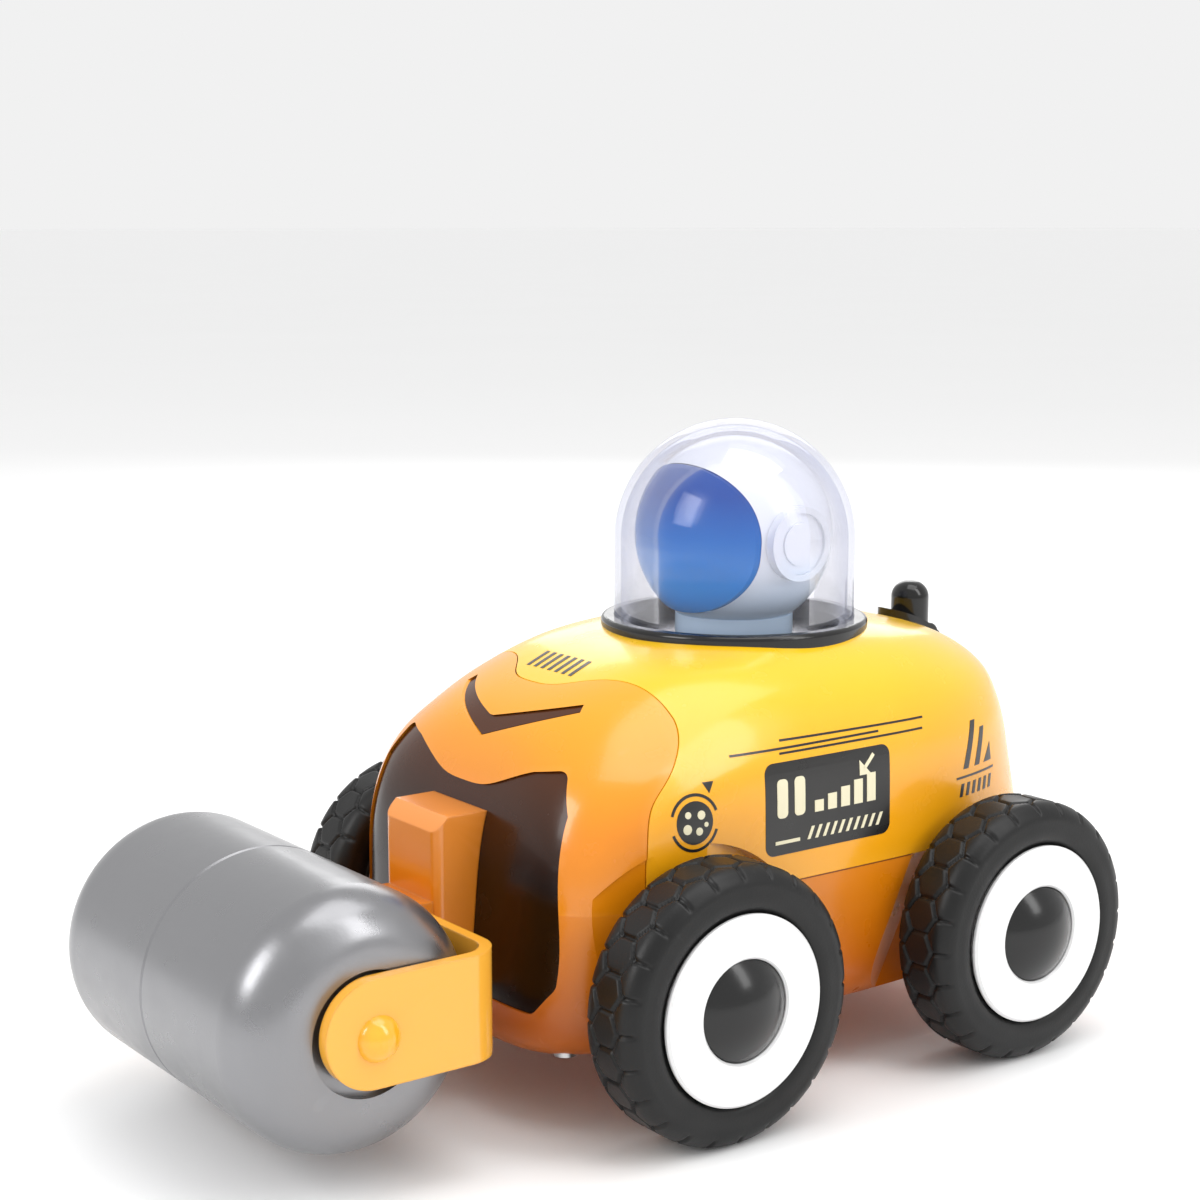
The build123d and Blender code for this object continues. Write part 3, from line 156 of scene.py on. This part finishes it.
def height_mask(tree, low, high, axis="Z"):
    """0 below low and 1 above high, in metres along one axis."""
    place = tree.nodes.new("ShaderNodeTexCoord")
    split = tree.nodes.new("ShaderNodeSeparateXYZ")
    tree.links.new(place.outputs["Object"], split.inputs["Vector"])
    return spread(tree, split.outputs[axis], 0, 1, low, high)


def relief(tree, height, strength, distance, round_edges):
    """Bump normal on top of slightly rounded edges."""
    bump = tree.nodes.new("ShaderNodeBump")
    bump.inputs["Strength"].default_value = strength
    bump.inputs["Distance"].default_value = distance
    tree.links.new(height, bump.inputs["Height"])
    if round_edges:
        bevel = tree.nodes.new("ShaderNodeBevel")
        bevel.samples = 4
        bevel.inputs["Radius"].default_value = round_edges
        tree.links.new(bevel.outputs["Normal"], bump.inputs["Normal"])
    return bump.outputs["Normal"]


def surface(name, colour, rough, painted_shading=None, vary=0.06, grain=(900, 0.05), coat=0.0, metal=0.0,
            edge_highlight=0.12, round_edges=0.0, glow=0.0, stretch=(1, 1, 1), shine=0.5):
    """Solid finish with colour variation, uneven gloss, fine grain and painted highlights on sharp outer
    edges.

    The optional shading tuple (colour, low, high, axis) is painted light and shade: the colour changes to it
    between two heights.
    """
    material, tree, output = new_material(name)
    shader = tree.nodes.new("ShaderNodeBsdfPrincipled")
    base = colour
    # Painted light and shade: the colour changes with height.
    if painted_shading:
        base = blend_colour(tree, height_mask(tree, *painted_shading[1:]), colour, painted_shading[0])
    patches = spread(tree, noise(tree, 45), 0, vary)
    darker = tuple(part * 0.72 for part in colour)
    varied = blend_colour(tree, patches, base, darker)
    # Sharp outer edges are painted lighter: a painted edge highlight.
    edge_light = edge_highlight_mask(tree)
    scaled = spread(tree, edge_light, 0, edge_highlight, 0, 1)
    lighter = tuple(min(1.0, part * 1.3 + 0.12) for part in colour)
    tree.links.new(blend_colour(tree, scaled, varied, lighter), shader.inputs["Base Color"])
    roughness = spread(tree, noise(tree, 130, stretch=stretch), rough * 0.85, rough * 1.2)
    tree.links.new(roughness, shader.inputs["Roughness"])
    shader.inputs["Metallic"].default_value = metal
    shader.inputs["Specular IOR Level"].default_value = shine
    shader.inputs["Coat Weight"].default_value = coat
    shader.inputs["Coat Roughness"].default_value = 0.08
    normal = relief(tree, noise(tree, grain[0], 2.0, stretch), grain[1], 0.0002, round_edges)
    tree.links.new(normal, shader.inputs["Normal"])
    if glow:
        shader.inputs["Emission Color"].default_value = (*colour, 1)
        shader.inputs["Emission Strength"].default_value = glow
    tree.links.new(shader.outputs["BSDF"], output.inputs["Surface"])
    return material


def clear_shell(name, tint, edge_tint):
    """Thin clear plastic: see-through face on, tinted and glossy towards its rim."""
    material, tree, output = new_material(name)
    layer = tree.nodes.new("ShaderNodeLayerWeight")
    layer.inputs["Blend"].default_value = 0.32
    clear = tree.nodes.new("ShaderNodeBsdfTransparent")
    clear.inputs["Color"].default_value = (*tint, 1)
    body = tree.nodes.new("ShaderNodeBsdfPrincipled")
    body.inputs["Base Color"].default_value = (*edge_tint, 1)
    smears = spread(tree, noise(tree, 60), 0.02, 0.07)
    tree.links.new(smears, body.inputs["Roughness"])
    film = tree.nodes.new("ShaderNodeMixShader")
    rim = spread(tree, layer.outputs["Facing"], 0.02, 0.55, 0.30, 1.0)
    tree.links.new(rim, film.inputs["Fac"])
    tree.links.new(clear.outputs["BSDF"], film.inputs[1])
    tree.links.new(body.outputs["BSDF"], film.inputs[2])
    gloss = tree.nodes.new("ShaderNodeBsdfGlossy")
    gloss.inputs["Roughness"].default_value = 0.03
    top = tree.nodes.new("ShaderNodeMixShader")
    shine = spread(tree, layer.outputs["Fresnel"], 0.015, 0.35, 0.05, 1.0)
    tree.links.new(shine, top.inputs["Fac"])
    tree.links.new(film.outputs["Shader"], top.inputs[1])
    tree.links.new(gloss.outputs["BSDF"], top.inputs[2])
    tree.links.new(top.outputs["Shader"], output.inputs["Surface"])
    return material


# LEMON is the painted lit tone on the shell's top, GOLD is also the painted lit tone on the mask's top, and
# DEEP_ORANGE is the painted shaded tone at the chassis bottom.
LEMON = (0.93, 0.54, 0.008)
GOLD = (0.87, 0.37, 0.005)
ORANGE = (0.76, 0.235, 0.003)
DEEP_ORANGE = (0.50, 0.11, 0.0015)
INK = (0.008, 0.007, 0.006)

FINISHES = {
    # Upper shell: painted highlight, lighter LEMON on its top.
    "shell_yellow": dict(colour=GOLD, rough=0.24, painted_shading=(LEMON, 0.060, 0.088, "Z"), coat=0.35,
                         grain=(1400, 0.03)),
    # Mask: painted highlight, lighter GOLD on its top.
    "mask_orange": dict(colour=ORANGE, rough=0.24, painted_shading=(GOLD, 0.060, 0.088, "Z"), coat=0.32,
                        grain=(1400, 0.03)),
    # Chassis: painted shade, DEEP_ORANGE darker towards the bottom and ORANGE above.
    "chassis_orange": dict(colour=DEEP_ORANGE, rough=0.30, painted_shading=(ORANGE, 0.022, 0.048, "Z"), coat=0.12,
                           grain=(1400, 0.03), shine=0.4),
    # Grille panel: painted reflection of the yellow body, brownish towards its top.
    "panel_dark": dict(colour=(0.010, 0.003, 0.001), rough=0.24, coat=0.1, edge_highlight=0.05, shine=0.3,
                       painted_shading=((0.07, 0.018, 0.003), 0.050, 0.072, "Z")),
    "black_gloss": dict(colour=(0.004, 0.004, 0.004), rough=0.16, coat=0.15, edge_highlight=0.04, shine=0.4),
    "cab_black": dict(colour=(0.012, 0.011, 0.008), rough=0.2, coat=0.1, edge_highlight=0.03, shine=0.3),
    # Helmet: white on top and painted shade in pale blue towards its bottom.
    "helmet_white": dict(colour=(0.62, 0.80, 0.95), rough=0.2, painted_shading=((0.86, 0.88, 0.93), 0.092, 0.108, "Z"),
                         coat=0.4, edge_highlight=0.02, vary=0.03),
    # Visor: painted shade, darker blue towards its top.
    "visor_blue": dict(colour=(0.02, 0.30, 0.86), rough=0.2, painted_shading=((0.003, 0.055, 0.32), 0.096, 0.120, "Z"),
                       coat=0.1, edge_highlight=0.0, shine=0.35, vary=0.1),
    "light_blue": dict(colour=(0.35, 0.72, 1.0), rough=0.3, glow=4.0),
    "roller_silver": dict(colour=(0.27, 0.27, 0.28), rough=0.30, metal=0.85, coat=0.12, grain=(2200, 0.06),
                          edge_highlight=0.06),
    # Yoke and post: strong painted highlights on their sharp edges.
    "yoke_yellow": dict(colour=(0.86, 0.36, 0.008), rough=0.2, coat=0.45, round_edges=0.0006, edge_highlight=0.3),
    "post_orange": dict(colour=(0.74, 0.22, 0.005), rough=0.2, coat=0.45, round_edges=0.0006, edge_highlight=0.3),
    "cap_yellow": dict(colour=(0.86, 0.42, 0.02), rough=0.16, coat=0.5),
    "tyre_rubber": dict(colour=(0.005, 0.005, 0.005), rough=0.40, grain=(1800, 0.15), vary=0.3, edge_highlight=0.03,
                        shine=0.35),
    "rim_white": dict(colour=(0.82, 0.82, 0.82), rough=0.3, coat=0.2, edge_highlight=0.02, vary=0.03),
    "hub_black": dict(colour=(0.006, 0.006, 0.006), rough=0.2, coat=0.1, edge_highlight=0.02, shine=0.45),
    "steel": dict(colour=(0.55, 0.55, 0.56), rough=0.3, metal=1.0, stretch=(1, 12, 12)),
    "steer_plastic": dict(colour=(0.05, 0.05, 0.05), rough=0.5),
    "gear_plastic": dict(colour=(0.80, 0.78, 0.70), rough=0.4),
    "motor_can": dict(colour=(0.50, 0.50, 0.51), rough=0.34, metal=1.0, stretch=(1, 10, 10)),
    "bush_white": dict(colour=(0.75, 0.75, 0.73), rough=0.45),
    "cell_wrap": dict(colour=(0.02, 0.09, 0.05), rough=0.25, coat=0.3),
    "contact_metal": dict(colour=(0.60, 0.58, 0.52), rough=0.3, metal=1.0),
    "door_orange": dict(colour=(0.66, 0.18, 0.004), rough=0.4, grain=(1100, 0.2)),
    "switch_black": dict(colour=(0.02, 0.02, 0.02), rough=0.5),
    "board_green": dict(colour=(0.01, 0.08, 0.03), rough=0.3, coat=0.3),
    "component_dark": dict(colour=(0.03, 0.03, 0.035), rough=0.45),
}


def make_materials():
    materials = {name: surface(name, **values) for name, values in FINISHES.items()}
    materials["dome_clear"] = clear_shell("dome_clear", (0.97, 0.97, 0.99), (0.62, 0.66, 0.86))
    materials["ink"] = surface("ink", INK, 0.3, coat=0.2, edge_highlight=0.0)
    # Dark brown band at the seam between shell and chassis: painted shadow.
    materials["painted_seam_shadow"] = surface("painted_seam_shadow", (0.20, 0.05, 0.001), 0.5, edge_highlight=0.0)
    materials["mark_pale"] = surface("mark_pale", (0.80, 0.74, 0.52), 0.35, edge_highlight=0.0)
    materials["mark_orange"] = surface("mark_orange", (0.80, 0.40, 0.02), 0.35, edge_highlight=0.0)
    return materials


def dress_nodes(materials):
    """Gives every CAD node the finish of its slot."""
    for part in frame["record"]["subparts"]:
        node = frame["nodes"][part["node"]]
        material = materials[part["material_slot"]]
        if not node.material_slots:
            node.data.materials.append(material)
        for slot in node.material_slots:
            slot.material = material


# ---------------------------------------------------------------- mesh helpers
def new_object(name, mesh, material, body):
    """Object for a finished mesh, riding on its body."""
    mesh.materials.append(material)
    piece = bpy.data.objects.new(name, mesh)
    bpy.context.scene.collection.objects.link(piece)
    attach(piece, body)
    return piece


def body_tree():
    """Ray target made of the body's outside."""
    points, faces = [], []
    for name in BODY_NODES:
        mesh = frame["nodes"][name].data
        start = len(points)
        points += [vertex.co.copy() for vertex in mesh.vertices]
        faces += [[start + index for index in face.vertices] for face in mesh.polygons]
    return BVHTree.FromPolygons(points, faces)


# ---------------------------------------------------------------- tyres
def tread_outline():
    """Half outline of the tyre's outside from the tread middle to the side wall: (across, radius, run)."""
    outline = []
    for run in np.arange(0, TREAD_HALF + SHOULDER_R * pi / 2, PROFILE_STEP):
        if run < TREAD_HALF:
            outline.append((run, TYRE_R, run))
        else:
            angle = (run - TREAD_HALF) / SHOULDER_R
            across = TREAD_HALF + SHOULDER_R * sin(angle)
            outline.append((across, TYRE_R - SHOULDER_R + SHOULDER_R * cos(angle), run))
    return outline


def hexagon_edge_distance(around, across, pitch):
    """Distance from a point on the tread to the nearest groove line of a honeycomb."""
    row_gap = pitch * 0.866
    best = np.full(np.broadcast(around, across).shape, 1e9)
    second = best.copy()
    for row in range(-2, 3):
        shift = 0.5 * pitch if row % 2 else 0.0
        nearest = np.round((around - shift) / pitch) * pitch + shift
        for side in (-pitch, 0, pitch):
            distance = np.hypot(around - nearest - side, across - row * row_gap)
            second = np.where(distance < best, best, np.minimum(second, distance))
            best = np.minimum(best, distance)
    return (second - best) / 2


def tyre_mesh(name, middle_x, axle_y, axle_z, outward):
    """Tyre with a honeycomb of grooves on tread and shoulders and smooth bulging side walls."""
    outer = tread_outline() + [(x, radius, OFF_TREAD) for x, radius in TYRE_WALL + TYRE_SEAT]
    inner = [(-x, radius, -run if run < OFF_TREAD else OFF_TREAD) for x, radius, run in outer[1:]]
    ring = outer + [(0.0, TYRE_BORE_R, OFF_TREAD)] + inner[::-1]
    across = np.array([point[0] for point in ring])
    radius = np.array([point[1] for point in ring])
    run = np.array([point[2] for point in ring])
    count = TREAD_COUNT * TREAD_STEPS
    angle = 2 * pi * np.arange(count) / count
    pitch = 2 * pi * TYRE_R / TREAD_COUNT
    around = (angle * TYRE_R)[None, :]
    gap = hexagon_edge_distance(around, run[:, None], pitch)
    groove = np.clip((GROOVE_HALF - gap) / (GROOVE_HALF * GROOVE_SLOPE), 0, 1)
    fade = np.clip((GROOVE_END - np.abs(run)) / GROOVE_FADE, 0, 1)[:, None]
    depth = GROOVE_DEPTH * groove * fade
    lean = np.clip((np.abs(run) - TREAD_HALF) / SHOULDER_R, 0, pi / 2) * (np.abs(run) < OFF_TREAD)
    dug_radius = radius[:, None] - depth * np.cos(lean)[:, None]
    dug_across = across[:, None] - depth * (np.sin(lean) * np.sign(across))[:, None]
    x = middle_x + outward * dug_across
    y = axle_y + dug_radius * np.cos(angle)[None, :]
    z = axle_z + dug_radius * np.sin(angle)[None, :]
    points = np.stack([x, y, z], axis=2).reshape(-1, 3) * MM
    rows = len(ring)
    faces = []
    for row in range(rows):
        above = (row + 1) % rows
        for step in range(count):
            ahead = (step + 1) % count
            low, high = row * count, above * count
            faces.append((low + step, low + ahead, high + ahead, high + step))
    mesh = bpy.data.meshes.new(name)
    mesh.from_pydata(points.tolist(), [], faces)
    tidy_normals(mesh)
    return mesh


def tidy_normals(mesh):
    """Makes face normals point outwards and shades the mesh smooth."""
    work = bmesh.new()
    work.from_mesh(mesh)
    bmesh.ops.recalc_face_normals(work, faces=work.faces)
    for face in work.faces:
        face.smooth = True
    work.to_mesh(mesh)
    work.free()


def make_tyres(materials):
    """Detailed tyres in the place of the four plain ones."""
    for wheel in WHEELS:
        node = "tyre_" + wheel
        low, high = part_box(node)
        side = 1 if low.x > 0 else -1
        inner_x = min(abs(low.x), abs(high.x)) / MM
        middle = side * (inner_x + SEAT_CLEARANCE + TYRE_W / 2)
        axle_y = (low.y + high.y) / 2 / MM
        axle_z = (low.z + high.z) / 2 / MM
        mesh = tyre_mesh("tread_" + wheel, middle, axle_y, axle_z, side)
        body = "rear_axle_set" if wheel.startswith("rear") else "front_wheel_" + wheel.split("_")[1]
        piece = new_object("tread_" + wheel, mesh, materials["tyre_rubber"], body)
        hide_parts(node)


# ---------------------------------------------------------------- printed marks and the painted seam shadow
def rectangle(low, high, round_by=0.0):
    """Outline of a rectangle, its corners rounded."""
    if not round_by:
        return [(low[0], low[1]), (high[0], low[1]), (high[0], high[1]), (low[0], high[1])]
    outline = []
    corners = ((high[0], high[1], 0), (low[0], high[1], 90), (low[0], low[1], 180), (high[0], low[1], 270))
    for x, y, start in corners:
        centre_x = x - round_by if x == high[0] else x + round_by
        centre_y = y - round_by if y == high[1] else y + round_by
        for step in range(7):
            angle = radians(start + 15 * step)
            outline.append((centre_x + round_by * cos(angle), centre_y + round_by * sin(angle)))
    return outline


def ring_parts(centre, outer, inner, start=0, end=360, count=36):
    """Ring, or an arc of it, as a row of four-sided pieces."""
    parts = []
    for step in range(count):
        first = radians(start + (end - start) * step / count)
        last = radians(start + (end - start) * (step + 1) / count)
        corners = ((outer, first), (outer, last), (inner, last), (inner, first))
        parts.append([(centre[0] + r * cos(a), centre[1] + r * sin(a)) for r, a in corners])
    return parts


def disc(centre, radius, count=28):
    """Outline of a round spot."""
    steps = [2 * pi * step / count for step in range(count)]
    return [(centre[0] + radius * cos(a), centre[1] + radius * sin(a)) for a in steps]


def slanted_bars(start, count, gap, width, height, lean):
    """Row of leaning bars."""
    bars = []
    for step in range(count):
        x = start[0] + step * gap
        y = start[1]
        bars.append([(x, y), (x + width, y), (x + width + lean, y + height), (x + lean, y + height)])
    return bars


def line(first, last, width):
    """Straight bar between two points."""
    dx, dy = last[0] - first[0], last[1] - first[1]
    length = hypot(dx, dy)
    nx, ny = -dy / length * width / 2, dx / length * width / 2
    return [
        (first[0] - nx, first[1] - ny),
        (last[0] - nx, last[1] - ny),
        (last[0] + nx, last[1] + ny),
        (first[0] + nx, first[1] + ny),
    ]


def flat_mesh(outlines):
    """Flat faces from outlines, cut into small cells and welded."""
    work = bmesh.new()
    for outline in outlines:
        work.faces.new([work.verts.new((a, b, 0)) for a, b in outline])
    bmesh.ops.remove_doubles(work, verts=work.verts, dist=0.01)
    for axis in (0, 1):
        values = [vertex.co[axis] for vertex in work.verts]
        cut = min(values) + CELL
        normal = (1, 0, 0) if axis == 0 else (0, 1, 0)
        while cut < max(values):
            place = (cut, 0, 0) if axis == 0 else (0, cut, 0)
            whole = work.verts[:] + work.edges[:] + work.faces[:]
            bmesh.ops.bisect_plane(work, geom=whole, dist=0.001, plane_co=place, plane_no=normal)
            cut += CELL
    return work


def printed_mark(name, outlines, direction, tree, material, layer=0):
    """Thin film on the body: outlines drawn on a plane and dropped along direction onto the surface.

    direction is "+x" or "-x" for the sides, with outlines in (y, z), or "top", with outlines in (x, y).
    """
    work = flat_mesh(outlines)
    lift = (LIFT + layer * FILM) * MM
    for vertex in work.verts:
        a, b = vertex.co.x * MM, vertex.co.y * MM
        if direction == "top":
            start, aim = Vector((a, b, RAY_START)), Vector((0, 0, -1))
        else:
            side = 1 if direction == "+x" else -1
            start, aim = Vector((side * RAY_START, a, b)), Vector((-side, 0, 0))
        hit, normal = tree.ray_cast(start, aim)[:2]
        if normal.dot(aim) > 0:
            normal = -normal
        vertex.co = hit + normal * lift
    bmesh.ops.recalc_face_normals(work, faces=work.faces)
    outside = Vector((0, 0, 1)) if direction == "top" else Vector((1 if direction == "+x" else -1, 0, 0))
    work.normal_update()
    if sum(face.normal.dot(outside) for face in work.faces) < 0:
        bmesh.ops.reverse_faces(work, faces=work.faces)
    bmesh.ops.solidify(work, geom=work.faces[:], thickness=FILM * MM)
    bmesh.ops.recalc_face_normals(work, faces=work.faces)
    mesh = bpy.data.meshes.new(name)
    work.to_mesh(mesh)
    work.free()
    return new_object(name, mesh, material, "chassis")


def label_marks():
    """Pale signs on the dark plate: two tall bars, steps, an arrow and a hatched strip."""
    marks = [rectangle((11.0, 58.6), (13.8, 66.6), 1.0), rectangle((15.6, 58.6), (18.4, 66.6), 1.0)]
    for step in range(5):
        low = 21.0 + 3.6 * step
        marks.append(rectangle((low, 58.6), (low + 2.4, 61.0 + 0.9 * step)))
    marks += slanted_bars((19.0, 53.2), 10, 2.1, 0.8, 2.6, 1.2)
    marks.append(line((10.5, 53.6), (17.0, 53.6), 0.7))
    marks.append(line((34.2, 65.2), (37.4, 68.4), 0.8))
    marks.append([(33.4, 64.4), (36.6, 64.4), (33.4, 67.6)])
    return marks


def side_marks(direction, tree, materials):
    """Plate, stripes, round badge and rear mark of one side."""
    name = "left" if direction == "+x" else "right"
    ink, pale = materials["ink"], materials["mark_pale"]
    plate = [rectangle((8.0, 51.0), (42.0, 70.0), 2.2)]
    printed_mark("plate_" + name, plate, direction, tree, ink)
    printed_mark("plate_signs_" + name, label_marks(), direction, tree, pale, 1)
    stripes = [
        line((0.4, 72.6), (39.5, 72.8), LINE_W),
        line((12.4, 71.7), (52.5, 71.7), LINE_W),
        line((13.0, 74.2), (53.0, 73.9), LINE_W),
    ]
    printed_mark("stripes_" + name, stripes, direction, tree, ink)
    badge = ring_parts(BADGE_AT, 5.8, 5.2, 20, 160, 18) + ring_parts(BADGE_AT, 5.8, 5.2, 200, 340, 18)
    badge.append(disc(BADGE_AT, 4.3))
    badge.append([(-7.2, 68.6), (-4.6, 68.6), (-5.9, 66.4)])
    printed_mark("badge_" + name, badge, direction, tree, ink)
    spots = [disc((BADGE_AT[0] + dx, BADGE_AT[1] + dz), radius, 14) for dx, dz, radius in BADGE_SPOTS]
    printed_mark("badge_spots_" + name, spots, direction, tree, pale, 1)
    rear = [
        [(66.0, 60.5), (68.0, 60.5), (71.5, 70.5), (69.6, 70.5)],
        [(70.5, 60.5), (72.5, 60.5), (75.2, 68.5), (73.4, 68.5)],
        [(74.5, 60.5), (78.0, 60.5), (77.6, 64.5)],
        line((63.5, 58.8), (79.0, 58.8), 0.5),
    ]
    rear += slanted_bars((64.5, 54.6), 6, 2.3, 1.1, 2.8, 0.8)
    printed_mark("rear_mark_" + name, rear, direction, tree, ink)


def seam_shadow_line(tree, materials):
    """Painted shadow of the joint: a fine dark line where shell and chassis meet, from one front wheel round
    the rear to the other.
    """
    work = bmesh.new()
    rows = []
    for turn in range(-SEAM_TURN, SEAM_TURN + 1):
        aim = Vector((-sin(radians(turn)), -cos(radians(turn)), 0))
        row = []
        for height in (SEAM_Z - SEAM_HALF, SEAM_Z + SEAM_HALF):
            start = Vector((0, CAB_Y * MM, height * MM)) - aim * RAY_START
            hit = tree.ray_cast(start, aim)[0]
            row += [hit + aim * SEAM_DEPTH * MM, hit - aim * SEAM_PROUD * MM]
        rows.append([work.verts.new(row[index]) for index in (0, 1, 3, 2)])
    for first, last in zip(rows, rows[1:]):
        for index in range(4):
            ahead = (index + 1) % 4
            work.faces.new((first[index], first[ahead], last[ahead], last[index]))
    work.faces.new(rows[0])
    work.faces.new(rows[-1])
    bmesh.ops.recalc_face_normals(work, faces=work.faces)
    mesh = bpy.data.meshes.new("seam_shadow_line")
    work.to_mesh(mesh)
    work.free()
    new_object("seam_shadow_line", mesh, materials["painted_seam_shadow"], "chassis")


def hood_mark(tree, materials):
    """Leaning bars on the hood, ahead of the dome."""
    bars = slanted_bars((-8.6, -13.2), 7, 2.5, 1.1, 6.4, -1.4)
    printed_mark("hood_mark", bars, "top", tree, materials["ink"])


# ---------------------------------------------------------------- stage
def make_stage():
    """Pale floor."""
    mesh = bpy.data.meshes.new("floor")
    work = bmesh.new()
    bmesh.ops.create_grid(work, x_segments=1, y_segments=1, size=FLOOR_HALF)
    work.to_mesh(mesh)
    work.free()
    material, tree, output = new_material("floor_pale")
    shader = tree.nodes.new("ShaderNodeBsdfPrincipled")
    tone = blend_colour(tree, noise(tree, 3), (0.965, 0.965, 0.965), (0.985, 0.985, 0.985))
    tree.links.new(tone, shader.inputs["Base Color"])
    shader.inputs["Roughness"].default_value = 0.7
    tree.links.new(shader.outputs["BSDF"], output.inputs["Surface"])
    mesh.materials.append(material)
    floor = bpy.data.objects.new("floor", mesh)
    bpy.context.scene.collection.objects.link(floor)


def area_light(name, place, size, power):
    """Rectangular light aimed at the object."""
    data = bpy.data.lights.new(name, "AREA")
    data.shape = "RECTANGLE"
    data.size, data.size_y = size
    data.energy = power
    lamp = bpy.data.objects.new(name, data)
    lamp.location = place
    lamp.rotation_euler = (Vector(LIGHT_TARGET) - Vector(place)).to_track_quat("-Z", "Y").to_euler()
    bpy.context.scene.collection.objects.link(lamp)


def make_lights():
    """Four soft panels around the object and an even pale surround."""
    area_light("top", (0.15, 0.1, 0.9), (0.6, 0.6), 2.6)
    area_light("side", (0.75, 0.35, 0.70), (0.25, 0.8), 2.9)
    area_light("front", (-0.05, -0.85, 0.60), (0.35, 0.5), 3.2)
    area_light("back", (-0.8, 0.7, 0.5), (0.6, 0.5), 1.6)
    world = bpy.data.worlds.new("studio")
    bpy.context.scene.world = world
    world.use_nodes = True
    background = world.node_tree.nodes["Background"]
    background.inputs["Color"].default_value = (1, 1, 1, 1)
    background.inputs["Strength"].default_value = WORLD_STRENGTH


def make_camera():
    """Camera at the photograph's angle."""
    azimuth, elevation = radians(CAMERA_AZIMUTH), radians(CAMERA_ELEVATION)
    right = Vector((cos(azimuth), sin(azimuth), 0))
    back = Vector((sin(azimuth) * cos(elevation), -cos(azimuth) * cos(elevation), sin(elevation)))
    up = back.cross(right)
    data = bpy.data.cameras.new("camera")
    data.lens = CAMERA_LENS
    data.sensor_width = 36.0
    data.clip_start = 0.01
    camera = bpy.data.objects.new("camera", data)
    turn = Matrix((right, up, back)).transposed().to_4x4()
    camera.matrix_world = Matrix.Translation(CAMERA_PLACE) @ turn
    bpy.context.scene.collection.objects.link(camera)
    bpy.context.scene.camera = camera


# ---------------------------------------------------------------- the scene
make_camera()
make_stage()
make_lights()
bpy.context.scene.view_settings.view_transform = "Standard"
finishes = make_materials()
dress_nodes(finishes)
make_tyres(finishes)
skin = body_tree()
side_marks("+x", skin, finishes)
side_marks("-x", skin, finishes)
hood_mark(skin, finishes)
seam_shadow_line(skin, finishes)
